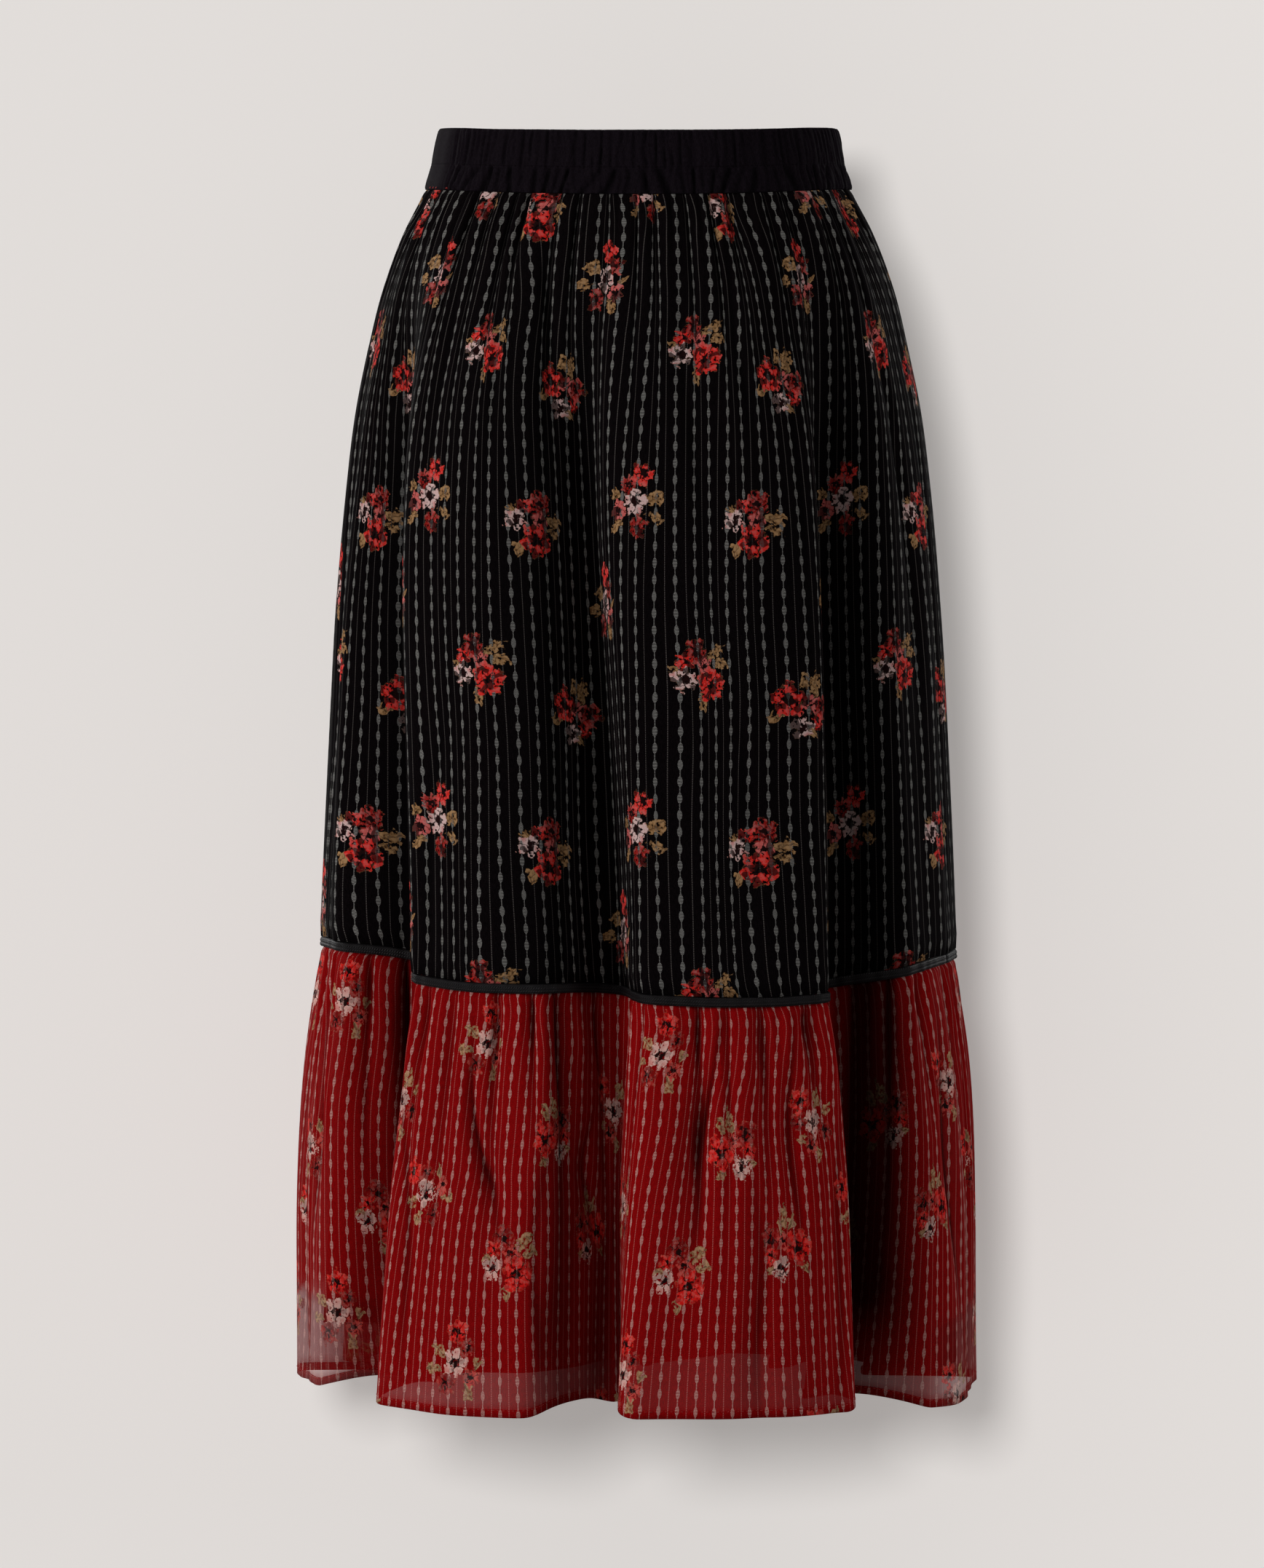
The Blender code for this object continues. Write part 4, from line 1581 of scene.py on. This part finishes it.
def columns_by_width(total: int, height: Curve) -> list[int]:
    """A number of columns shared out between the folds by the length of cloth in each.

    Args:
        total: about how many columns there are in all.
        height: the heights at which the large form is measured, by azimuth.

    Returns:
        One even number of columns for each fold.
    """
    widths = fold_widths(height, 1.0)
    return [2 * round(0.5 * total * width / sum(widths)) for width in widths]


def edge_of(name: str, raised: float = 0.0) -> Curve:
    """The curve of a named edge, raised by a distance."""
    return lambda azimuth: FORM.edge(name, azimuth) + raised


def trimmed(points: np.ndarray, gap: float) -> np.ndarray:
    """The points with both end columns moved in by half of the gap at a side seam."""
    points = points.copy()
    for end, beside in ((0, 1), (-1, -2)):
        run = points[:, beside] - points[:, end]
        length = np.linalg.norm(run, axis=-1, keepdims=True)
        points[:, end] += run / length * np.minimum(0.5 * gap, 0.4 * length)
    return points


class Cut(NamedTuple):
    """The flat cut of a piece's halves: widths at the widest edge, and the mean width over that."""

    front: float
    back: float
    length: float
    held: str
    rests_on: str
    taper: float = 1.0


@dataclass
class Piece:
    """What every piece of cloth shares: its slot, its flat cut and how its halves are made."""

    name: str
    slot: str
    cut: Optional[Cut] = None
    gap: float = 0.0002

    def halves(
        self,
        material: bpy.types.Material,
        grid: ClothGrid,
        flat: np.ndarray,
        outer: np.ndarray,
        inner: Optional[np.ndarray] = None,
        lap: float = 0.0,
        trims: Sequence[bpy.types.Object] = (),
    ) -> list[bpy.types.Object]:
        """Cuts a ring of cloth at the side seams and gives each half its finish and its place.

        Args:
            material: the finish.
            grid: the whole ring.
            flat: the flat cloth's coordinates by row and column.
            outer: the points by row and column.
            inner: the inside's points, for cloth with thickness.
            lap: the flat width that the columns before the ring's start lie lower.
            trims: the piece sewn onto each half; not used.

        Returns:
            The front and the back half.
        """
        made = []
        for number, half in enumerate(Half):
            places, before = grid.half(half)
            node = f"{self.name}_{half.value}"
            cloth = flat[:, places] - before[:, None] * np.array((lap, 0.0, 0.0))
            shape = trimmed(outer[:, places], self.gap)
            if inner is None:
                piece = MeshMaker.single(node + "_cloth", shape, cloth)
            else:
                inside = trimmed(inner[:, places], self.gap)
                piece = MeshMaker.shell(node + "_cloth", shape, inside, cloth)
            piece.data.materials.append(material)
            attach(piece, ROOT)
            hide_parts(node)
            LOG.info("%s: %.3f of flat cloth", node, np.ptp(cloth[-1, :, 0]))
            made.append(piece)
        return made


@dataclass
class Body(Piece):
    """The black printed body, gathered into the waistband."""

    thickness: float = 0.0007
    tucked_rate: float = 0.80
    pucker: float = 0.0009
    pucker_height: float = 0.016
    under_tape: float = 0.0012
    under_tape_height: float = 0.005

    def build(self, material: bpy.types.Material) -> list[bpy.types.Object]:
        """Builds both halves in the printed cloth."""
        gathered = GatheredCloth(
            cloth=Cloth.BODY,
            gathers=tuple(fold.body for fold in FOLDS),
            rows=92,
            row_ease=1.75,
            depth=((0.0, 0.0032), (0.022, 0.0056), (0.060, 0.0040), (0.150, 0.0)),
            fine=((0.0, 0.0012), (0.012, 0.0014), (0.050, 0.0004), (0.10, 0.0)),
            long=((0.0, 0.0), (0.06, 0.0007), (0.20, 0.0013), (0.52, 0.0014)),
            tuck=((0.0, 0.0012), (0.003, 0.0002), (0.006, 0.0), (0.6, 0.0)),
            tucked=((0.0, 1.0), (0.10, 0.8), (0.25, 0.3), (0.45, 0.0), (0.6, 0.0)),
        )
        grid = gathered.lay(edge_of("waist", -self.gap), edge_of("seam", TAPE_HEIGHT + self.gap))
        hidden = gathered.drape(grid)
        grid.paint_hollow_shade(Cloth.BODY)
        pucker = self.pucker * ripple(grid.place, FINE_WAVES)
        pucker = pucker * (1.0 - ease(grid.above, 0.0, self.pucker_height))
        under = self.under_tape * (1.0 - ease(grid.above, 0.0, self.under_tape_height))
        grid.push(pucker - under)
        widths = fold_widths(edge_of("seam"), 1.0)
        flat = grid.flat_coordinates(widths, hidden, self.tucked_rate)
        outer = grid.points()
        inner = outer - grid.outward() * self.thickness
        return self.halves(material, grid, flat, outer, inner, sum(widths))


@dataclass
class Flounce(Piece):
    """The sheer red flounce, gathered under the tape, with a narrow hem turned up inside."""

    hem_height: float = 0.0052
    hem_rise: tuple[float, ...] = (0.0, 0.10, 0.35, 0.70, 1.0)
    hem_inset: tuple[float, ...] = (0.25, 0.70, 0.85, 0.85, 0.60)
    hem_thickness: float = 0.0010
    stitched_below: float = 0.0006
    fullness: float = 1.09
    tucked_rate: float = 1.16
    corner_lift: float = 0.0065
    corner_below: Step = (0.19, 0.27)
    corner_sides: Span = ((64.0, 94.0), (120.0, 160.0))
    painted_shade_eases_below: Step = (0.19, 0.26)
    left_side: Span = ((-98.0, -86.0), (-64.0, -58.0))
    left_behind: Span = ((-136.0, -126.0), (-98.0, -86.0))
    middle: Span = ((-26.0, -14.0), (40.0, 52.0))
    right_side: Span = ((58.0, 66.0), (86.0, 98.0))
    past_lining: Step = (0.218, 0.230)
    past_hem: Step = (0.0045, 0.0060)
    hem_line: np.ndarray = field(init=False)

    def round_corners(self, grid: ClothGrid) -> None:
        """Lifts the hem a little where it turns away, so that the folds' corners are round."""
        side = within(np.abs(off_centre(grid.azimuth, 0.0)), self.corner_sides)
        corner = np.maximum(4.0 * grid.valley * (1.0 - grid.valley), side)
        grid.z = grid.z + self.corner_lift * corner * ease(grid.below, *self.corner_below)

    def turn_up(self, rows: np.ndarray, inward: np.ndarray, up: np.ndarray) -> np.ndarray:
        """The rows with those of the turned-up hem after them, each from the last row."""
        turned = [rows]
        for rise, inset in zip(self.hem_rise, self.hem_inset):
            raised = rows[-1] - inward * (inset * self.hem_thickness)
            turned.append((raised + up * (rise * self.hem_height))[None])
        return np.concatenate(turned)

    def build(
        self, material: bpy.types.Material, tapes: Sequence[bpy.types.Object]
    ) -> list[bpy.types.Object]:
        """Builds both halves.

        Args:
            material: the sheer printed cloth.
            tapes: the halves of the tape sewn onto its top edge.

        Returns:
            The front and the back half.
        """
        gathered = GatheredCloth(
            cloth=Cloth.FLOUNCE,
            gathers=tuple(fold.flounce for fold in FOLDS),
            rows=84,
            row_ease=1.45,
            depth=((0.0, 0.0046), (0.016, 0.0085), (0.070, 0.0056), (0.170, 0.0)),
            fine=((0.0, 0.0012), (0.012, 0.0014), (0.050, 0.0004), (0.11, 0.0)),
            long=((0.0, 0.0), (0.05, 0.0012), (0.15, 0.0022), (0.28, 0.0030)),
            tuck=((0.0, 0.0020), (0.003, 0.0005), (0.007, 0.0), (0.3, 0.0)),
            tucked=((0.0, 1.0), (0.10, 0.8), (0.20, 0.6), (0.28, 0.4), (0.6, 0.0)),
            painted_shade_depth=0.0125,
        )
        grid = gathered.lay(edge_of("seam", -self.gap), edge_of("hem"))
        self.round_corners(grid)
        hidden = gathered.drape(grid)
        grid.paint_hollow_shade(Cloth.FLOUNCE)
        # The painted shade fades to half towards the hem.
        grid.painted_shade = grid.painted_shade * (1.0 - 0.50 * ease(grid.below, *self.painted_shade_eases_below))
        widths = fold_widths(edge_of("hem"), self.fullness)
        flat = grid.flat_coordinates(widths, hidden, self.tucked_rate)
        points = grid.points()
        last, above = points[-1], points[-2]
        rise = (self.hem_height - self.stitched_below) / (above[:, 2:] - last[:, 2:])
        self.hem_line = last * (1.0 - rise) + above * rise
        points = self.turn_up(points, grid.outward()[-1], np.array((0.0, 0.0, 1.0)))
        flat = self.turn_up(flat, np.zeros(3), np.array((0.0, 1.0, 0.0)))
        made = self.halves(material, grid, flat, points, None, sum(widths), tapes)
        for piece, half in zip(made, Half):
            self.let_through(piece, grid, half, len(points))
        return made

    def let_through(
        self, piece: bpy.types.Object, grid: ClothGrid, half: Half, rows: int
    ) -> None:
        """Stores how much light each point of a half lets through, 1 for a flat single layer.

        Args:
            piece: the half's object.
            grid: the whole ring.
            half: which half it is.
            rows: the half's rows, the turned-up hem's among them.
        """
        places, _ = grid.half(half)
        turned = off_centre(grid.azimuth, 0.0)
        sides = 4.6 * (within(turned, self.left_side) + 0.8 * within(turned, self.left_behind))
        sides = sides + 3.4 * within(turned, self.right_side)
        share = (1.0 - 0.90 * grid.valley) * (1.0 - 0.75 * within(turned, self.middle))
        share = share * (1.0 + ease(grid.below, *self.past_lining) * sides)
        share = share * (0.40 + 0.60 * ease(grid.above, *self.past_hem))
        share = np.concatenate((share, np.repeat(share[-1:], rows - len(share), axis=0)))
        stored = piece.data.attributes.new("sheer", "FLOAT", "POINT")
        stored.data.foreach_set("value", share[:, places].astype(np.float32).ravel())


class Gathers(NamedTuple):
    """Uneven gathers round the band."""

    number: int
    depth: float
    least: float
    most: float
    step: float
    sharpness: float


@dataclass
class Waistband(Piece):
    """The crepe band on elastic: fine gathers above a casing line and looser ones below it."""

    columns: int = 1150
    fullness: float = 1.3
    fine: Gathers = Gathers(124, 0.0017, 0.15, 0.9, 0.618, 2.6)
    loose: Gathers = Gathers(92, 0.0025, 0.20, 1.2, 0.382, 2.2)
    drift: float = 0.011
    pinch: float = 0.40
    pinch_width: float = 0.03
    painted_shade_at: float = 0.0018
    wander: float = 0.0004
    wrinkle: float = 0.00045
    thickness: float = 0.0024
    top_round: float = 0.9 * MM
    low_round: float = 0.3 * MM
    casing_at: float = 0.58
    smooth: Span = ((-102.0, -96.0), (-66.0, -61.0))
    whipped: Step = (-0.1345, -0.1215)
    casing: np.ndarray = field(init=False)
    whip: np.ndarray = field(init=False)
    drops: tuple[float, ...] = (
        0.0, 0.008, 0.022, 0.045, 0.09, 0.15, 0.23, 0.32, 0.41, 0.49, 0.535, 0.56, 0.58,
        0.60, 0.625, 0.67, 0.73, 0.79, 0.85, 0.90, 0.94, 0.97, 0.99, 1.0,
    )

    def profile(self, share: np.ndarray) -> np.ndarray:
        """How far the plain band stands proud at shares of the way down."""
        knots = np.array((0.0, 0.015, 0.05, 0.25, 0.48, 0.58, 0.68, 0.86, 0.96, 1.0))
        proud = np.array((-0.9, -0.3, 0.2, 0.6, 0.5, 0.1, 0.4, 0.7, 0.4, -0.5)) * MM
        return np.interp(share, knots, proud)

    @staticmethod
    def gathered(place: np.ndarray, kind: Gathers) -> np.ndarray:
        """How deep gathers are, as a share of their depth, at places counted in gathers."""
        deep = uneven(np.floor(place) % kind.number, kind.least, kind.most, kind.step)
        return deep * (0.5 - 0.5 * np.cos(2.0 * math.pi * place)) ** kind.sharpness

    def build(self, material: bpy.types.Material) -> list[bpy.types.Object]:
        """Builds both halves in crepe."""
        counts = columns_by_width(self.columns, edge_of("waist"))
        shares = np.array(self.drops)
        grid = ClothGrid(edge_of("top"), edge_of("waist"), shares, counts)
        share = np.broadcast_to(shares[:, None], grid.z.shape)
        turned = off_centre(grid.azimuth, 0.0)
        turn = (turned + 0.5 * FULL_TURN) / FULL_TURN
        drift = self.drift * ripple(turn, GATHER_DRIFT)
        fine = self.gathered(self.fine.number * (turn + drift), self.fine)
        slant = 1.6 * np.sin(2.0 * math.pi * (9.0 * turn + 0.1)) + 0.6
        place = self.loose.number * (turn - drift) + slant * (share - self.casing_at)
        loose = self.gathered(place, self.loose)
        low = ease(share, self.casing_at - 0.02, self.casing_at + 0.08)
        near = (share - self.casing_at) / self.pinch_width
        pinch = 1.0 - self.pinch * np.exp(-(near**2))
        top = 0.45 + 0.55 * ease(share, 0.0, 0.10)
        depth = self.fine.depth * fine * (1.0 - low) + self.loose.depth * loose * low
        smooth = within(turned, self.smooth)
        depth = depth * pinch * top * (1.0 - smooth)
        # Painted shade in the band's gathers.
        grid.painted_shade = 0.6 * np.clip(depth / self.painted_shade_at, 0.0, 1.0) ** 1.5
        crumple = ripple(turn + 0.0016 * np.sin(share * 9.0 + 60.0 * turn), BAND_WAVES)
        wander = self.wander * ripple(turn, LONG_WAVES)
        wander = wander + self.wrinkle * crumple * (1.0 - smooth) * pinch
        plain, outward = grid.points(), grid.outward()
        grid.push(self.profile(share) - depth + wander)
        outer = grid.points()
        rounded = self.top_round * (1.0 - ease(share, 0.0, 0.05))
        rounded = rounded + self.low_round * ease(share, 0.96, 1.0)
        inner = plain - outward * (self.thickness - rounded + 0.3 * depth - wander)[..., None]
        self.casing = outer[self.drops.index(self.casing_at)]
        lower = outer[-3]
        right, front = lower[:, 0], lower[:, 1] < 0.0
        self.whip = lower[(right > self.whipped[0]) & (right < self.whipped[1]) & front]
        flat = grid.flat_coordinates(fold_widths(edge_of("waist"), self.fullness))
        return self.halves(material, grid, flat, outer, inner)


@dataclass
class Tape(Piece):
    """The narrow corded tape over the seam."""

    columns: int = 760
    proud: float = 0.0008
    thickness: float = 0.0018
    sway: float = 0.00025
    pucker: float = 0.0005
    profile: tuple[float, ...] = (-0.9, -0.2, 0.0, 0.15, 0.0, -0.25, 0.0, 0.15, 0.0, -0.2, -0.9)

    def build(self, material: bpy.types.Material) -> list[bpy.types.Object]:
        """Builds both halves in corded tape."""
        counts = columns_by_width(self.columns, edge_of("seam"))
        shares = np.linspace(0.0, 1.0, len(self.profile))
        grid = ClothGrid(edge_of("seam", TAPE_HEIGHT), edge_of("seam"), shares, counts)
        grid.z = grid.z + self.sway * ripple(grid.place, FINE_CALM)
        inner = grid.points() - grid.outward() * (self.thickness - self.proud)
        rounded = np.array(self.profile)[:, None] * MM
        grid.push(self.proud + rounded + self.pucker * ripple(grid.place, FINE_WAVES))
        flat = grid.flat_coordinates(fold_widths(edge_of("seam"), 1.0))
        return self.halves(material, grid, flat, grid.points(), inner)


@dataclass
class Lining(Piece):
    """The dark lining that hangs free inside."""

    columns: int = 400
    rows: int = 60
    rise: float = 0.012
    thickness: float = 0.0006
    ripple_depth: float = 0.0016
    hem_height: float = 0.010
    hem_groove: float = 0.0005
    hem_groove_width: float = 0.004

    def build(self, material: bpy.types.Material) -> list[bpy.types.Object]:
        """Builds both halves in satin."""
        counts = columns_by_width(self.columns, edge_of("lining_hem"))
        shares = np.linspace(0.0, 1.0, self.rows)
        top = edge_of("waist", self.rise)
        grid = ClothGrid(top, edge_of("lining_hem"), shares, counts, lining=True)
        calm = ease(grid.below, 0.03, 0.20) * (1.0 - 0.8 * grid.valley)
        grid.push(self.ripple_depth * calm * ripple(grid.place, LONG_WAVES))
        grid.crease(Cloth.LINING)
        away = np.abs(grid.above - self.hem_height)
        grid.push(-self.hem_groove * (1.0 - ease(away, 0.0, self.hem_groove_width)))
        outer = grid.points()
        inner = outer - grid.outward() * self.thickness
        flat = grid.flat_coordinates(fold_widths(edge_of("lining_hem"), 1.0))
        return self.halves(material, grid, flat, outer, inner)


@dataclass
class StitchRow:
    """A row of hand or machine stitches along a closed or open line."""

    name: str
    slot: str
    pitch: float
    length: float
    thread: float
    sides: int = 6
    bulge: tuple[float, ...] = (0.35, 0.9, 1.0, 0.9, 0.35)
    slant: float = 0.0

    def build(
        self, line: np.ndarray, raised: float, material: bpy.types.Material
    ) -> bpy.types.Object:
        """Sews the row.

        Args:
            line: the points that the row follows.
            raised: how far outward of the line the threads lie.
            material: the thread.

        Returns:
            The row as one object.
        """
        steps = np.linalg.norm(np.diff(line, axis=0), axis=-1)
        run = np.concatenate(((0.0,), np.cumsum(steps)))
        centres = np.arange(0.5 * self.pitch, run[-1] - 0.5 * self.pitch, self.pitch)
        half = 0.5 * self.length
        points, flat, faces = [], [], []
        rings = len(self.bulge)
        for centre in centres:
            ends = [
                np.array([np.interp(centre + side * half, run, line[:, axis]) for axis in range(3)])
                for side in (-1.0, 1.0)
            ]
            along = ends[1] - ends[0]
            along = along / max(float(np.linalg.norm(along)), 1e-9)
            up = np.array((0.0, 0.0, 1.0))
            out = np.cross(along, up)
            out = out / max(float(np.linalg.norm(out)), 1e-9)
            lean = up * (self.slant * self.length)
            start = ends[0] - lean + out * raised
            end = ends[1] + lean + out * raised
            axis = (end - start) / float(np.linalg.norm(end - start))
            side_way = np.cross(axis, out)
            first = len(points)
            for ring, size in enumerate(self.bulge):
                share = ring / (rings - 1)
                middle = start * (1.0 - share) + end * share
                middle = middle + out * (0.5 * self.thread * (size - 0.6))
                for side in range(self.sides):
                    turn = 2.0 * math.pi * side / self.sides
                    spoke = out * math.cos(turn) + side_way * math.sin(turn)
                    points.append(middle + spoke * (0.5 * self.thread * size))
                    flat.append((share * self.length, turn * 0.5 * self.thread, 0.0))
            for ring in range(rings - 1):
                for side in range(self.sides):
                    a = first + ring * self.sides + side
                    b = first + ring * self.sides + (side + 1) % self.sides
                    faces.append((a, b, b + self.sides, a + self.sides))
        made = MeshMaker.build(self.name, np.array(points), np.array(faces), np.array(flat))
        made.data.materials.append(material)
        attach(made, ROOT)
        LOG.info("%s: %d stitches", self.name, len(centres))
        return made


class Lamp(NamedTuple):
    """A round soft light in watts, with paper INCLUDE to light it alone or EXCLUDE all but it."""

    name: str
    place: tuple[float, float, float]
    width: float
    power: float
    paper: str


LAMPS = (
    Lamp("window_left", (-4.0, -2.4, 0.5), 2.0, 150.0, "EXCLUDE"),
    Lamp("window_right", (4.0, -1.9, 0.4), 2.0, 66.0, "EXCLUDE"),
    Lamp("soft_front", (-0.8, -4.6, 0.6), 2.4, 22.0, "EXCLUDE"),
    Lamp("lamp_by_camera", (-0.46, -4.6, 0.13), 0.66, 108.0, "INCLUDE"),
    Lamp("back_left", (-2.4, 3.0, 0.8), 2.0, 60.0, "EXCLUDE"),
    Lamp("back_right", (2.6, 2.6, 0.6), 2.0, 45.0, "EXCLUDE"),
)


@dataclass
class Studio:
    """The pale backdrop, the soft lights and the camera."""

    wall_y: float = 0.235
    floor_z: float = -1.15
    bend: float = 0.25
    half_width: float = 1.5
    lens: float = 141.34
    distance: float = 4.0
    camera_z: float = -0.30
    aim: tuple[float, float, float] = (-0.004, 0.0, -0.4053)
    paper: Colour = (0.745, 0.716, 0.694)
    # The strength of the paper's painted glow.
    glow: float = 0.33
    painted_glow_right_lift: float = 1.18
    right_from: Step = (-0.10, 0.50)
    clear_side: Step = (0.65, 1.30)
    clear_high: Step = (0.35, 0.85)
    clear_front: Step = (0.9, 2.0)
    clear_low: Step = (0.98, 1.12)
    lamps_aim: tuple[float, float, float] = (0.0, 0.0, -0.40)
    dim: float = 0.12
    bright: float = 0.25
    sheet: bpy.types.Object = field(init=False)

    def backdrop(self) -> bpy.types.Object:
        """A sheet of pale paper behind the skirt that bends into the floor."""
        profile = [(self.wall_y, 1.0), (self.wall_y, self.floor_z + self.bend)]
        for step in range(1, 12):
            turn = 0.5 * math.pi * step / 12
            y = self.wall_y - self.bend * (1.0 - math.cos(turn))
            z = self.floor_z + self.bend * (1.0 - math.sin(turn))
            profile.append((y, z))
        profile.append((self.wall_y - self.bend, self.floor_z))
        profile.append((-2.2, self.floor_z))
        columns = np.linspace(-self.half_width, self.half_width, 3)
        points = np.array([[(x, y, z) for x in columns] for y, z in profile])
        made = MeshMaker.single("pale_backdrop", points, points[..., (0, 2, 1)])
        made.data.materials.append(self.paper_material())
        return made

    def paper_material(self) -> bpy.types.Material:
        """Matt paper that only the camera sees, clear from behind and towards its edges, with a
        painted glow of its own that is stronger towards +X.
        """
        made = bpy.data.materials.new("matt_paper")
        made.use_nodes = True
        w = Wiring(made.node_tree)
        shader = made.node_tree.nodes["Principled BSDF"]
        shader.inputs["Base Color"].default_value = (*self.paper, 1.0)
        shader.inputs["Roughness"].default_value = 1.0
        shader.inputs["Specular IOR Level"].default_value = 0.0
        shader.inputs["Emission Strength"].default_value = self.glow
        position = w.node("ShaderNodeNewGeometry")
        across, near, up = w.parts(position.outputs["Position"])
        # Painted glow, brighter towards +X.
        brighter_glow = tuple(part * self.painted_glow_right_lift for part in self.paper)
        glow = w.blend(w.step(across, *self.right_from), self.paper, brighter_glow)
        w.feed(shader.inputs["Emission Color"], glow)
        side = w.step(w.math("ABSOLUTE", across), *self.clear_side)
        high = w.step(up, *self.clear_high)
        front = w.step(w.math("MULTIPLY", near, -1.0), *self.clear_front)
        low = w.step(w.math("MULTIPLY", up, -1.0), *self.clear_low)
        faded = w.math("MAXIMUM", w.math("MAXIMUM", side, high), w.math("MAXIMUM", front, low))
        behind = w.math("MAXIMUM", faded, position.outputs["Backfacing"])
        unseen = w.math("SUBTRACT", 1.0, w.node("ShaderNodeLightPath").outputs["Is Camera Ray"])
        clear = w.math("MAXIMUM", behind, unseen)
        mix = w.node("ShaderNodeMixShader")
        w.feed(mix.inputs[0], clear)
        w.feed(mix.inputs[1], shader.outputs[0])
        w.feed(mix.inputs[2], w.node("ShaderNodeBsdfTransparent").outputs[0])
        output = made.node_tree.nodes["Material Output"]
        w.feed(output.inputs["Surface"], mix.outputs[0])
        return made

    def world(self) -> None:
        """Pale surroundings: paper to the camera, a soft glow from the left to the cloth."""
        world = bpy.data.worlds.new("pale_room")
        bpy.context.scene.world = world
        world.use_nodes = True
        w = Wiring(world.node_tree)
        seen = world.node_tree.nodes["Background"]
        seen.inputs["Color"].default_value = (*self.paper, 1.0)
        seen.inputs["Strength"].default_value = 1.0
        across, _, _ = w.parts(w.node("ShaderNodeTexCoord").outputs["Generated"])
        left = w.step(w.math("MULTIPLY", across, -1.0), -0.8, 1.0)
        soft = w.node("ShaderNodeBackground")
        soft.inputs["Color"].default_value = (1.0, 0.985, 0.97, 1.0)
        w.feed(soft.inputs["Strength"], w.math("MULTIPLY_ADD", left, self.bright, self.dim))
        mix = w.node("ShaderNodeMixShader")
        w.feed(mix.inputs[0], w.node("ShaderNodeLightPath").outputs["Is Camera Ray"])
        w.feed(mix.inputs[1], soft.outputs[0])
        w.feed(mix.inputs[2], seen.outputs[0])
        w.feed(world.node_tree.nodes["World Output"].inputs["Surface"], mix.outputs[0])

    def aimed(
        self, name: str, kind: bpy.types.ID, place: Sequence[float], aim: Sequence[float]
    ) -> bpy.types.Object:
        """A lamp or camera that stands in one place and looks at another."""
        made = bpy.data.objects.new(name, kind)
        made.location = place
        towards = Vector(aim) - Vector(place)
        made.rotation_euler = towards.to_track_quat("-Z", "Y").to_euler()
        bpy.context.scene.collection.objects.link(made)
        return made

    def light(self, lamp: Lamp) -> None:
        """A round soft light that looks at the middle of the skirt."""
        kind = bpy.data.lights.new(lamp.name, "AREA")
        kind.shape = "DISK"
        kind.size = lamp.width
        kind.energy = lamp.power
        made = self.aimed(lamp.name, kind, lamp.place, self.lamps_aim)
        linked = bpy.data.collections.new(lamp.name + "_on")
        linked.objects.link(self.sheet)
        linked.collection_objects[0].light_linking.link_state = lamp.paper
        made.light_linking.receiver_collection = linked

    def camera(self) -> None:
        """The camera at the photograph's angle."""
        lens = bpy.data.cameras.new("front_view")
        lens.lens = self.lens
        lens.sensor_width = 36.0
        lens.clip_end = 50.0
        place = (self.aim[0], -self.distance, self.camera_z)
        bpy.context.scene.camera = self.aimed("front_view", lens, place, self.aim)

    def build(self) -> None:
        """Sets everything up."""
        self.camera()
        self.sheet = self.backdrop()
        self.world()
        for lamp in LAMPS:
            self.light(lamp)
        bpy.context.scene.view_settings.view_transform = "Standard"
        LOG.info("studio ready")


def closed(line: np.ndarray) -> np.ndarray:
    """A line right round the skirt, with its first point again at its end."""
    return np.concatenate((line, line[:1]))


def main() -> None:
    """Builds every piece of the skirt, its stitches and the studio."""
    logging.basicConfig(level=logging.INFO, format="%(name)s %(message)s")
    effects = Effects.build()
    band_cut = Cut(0.45, 0.52, 0.041, "gathered", "skirt")
    body_cut = Cut(0.63, 0.83, 0.51, "gathered", "waistband")
    flounce_cut = Cut(0.96, 1.29, 0.28, "gathered", "tape")
    lining_cut = Cut(0.78, 0.98, 0.76, "hung", "waistband", 0.71)
    band = Waistband("waistband", "waistband_crepe", band_cut)
    band.build(BLACK_CREPE.make(effects))
    Body("skirt", "body_print", body_cut).build(BLACK_PRINT.make(effects))
    tapes = Tape("tape", "seam_tape").build(BLACK_CORD.make(effects))
    flounce = Flounce("flounce", "flounce_print", flounce_cut)
    flounce.build(RED_PRINT.make(effects), tapes)
    Lining("lining", "lining_cloth", lining_cut).build(DARK_LINING.make(effects))
    casing = StitchRow("casing_stitches", "waistband_crepe", 0.0030, 0.0022, 0.00032)
    casing.build(closed(band.casing), 0.0001, BLACK_THREAD.make(effects))
    red_thread = RED_THREAD.make(effects)
    whip = StitchRow("whip_stitches", "waistband_crepe", 0.0060, 0.0016, 0.00070, slant=0.35)
    whip.build(band.whip, 0.0004, red_thread)
    hem = StitchRow("hem_stitches", "flounce_print", 0.0032, 0.0020, 0.00034)
    hem.build(closed(flounce.hem_line), 0.0001, red_thread)
    Studio().build()


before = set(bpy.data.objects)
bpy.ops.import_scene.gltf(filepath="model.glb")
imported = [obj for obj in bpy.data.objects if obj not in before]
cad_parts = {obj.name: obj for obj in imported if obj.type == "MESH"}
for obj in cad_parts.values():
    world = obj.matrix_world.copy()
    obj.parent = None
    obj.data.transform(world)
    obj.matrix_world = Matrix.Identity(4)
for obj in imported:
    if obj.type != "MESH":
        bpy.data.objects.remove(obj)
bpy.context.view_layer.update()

if __name__ == "__main__":
    main()
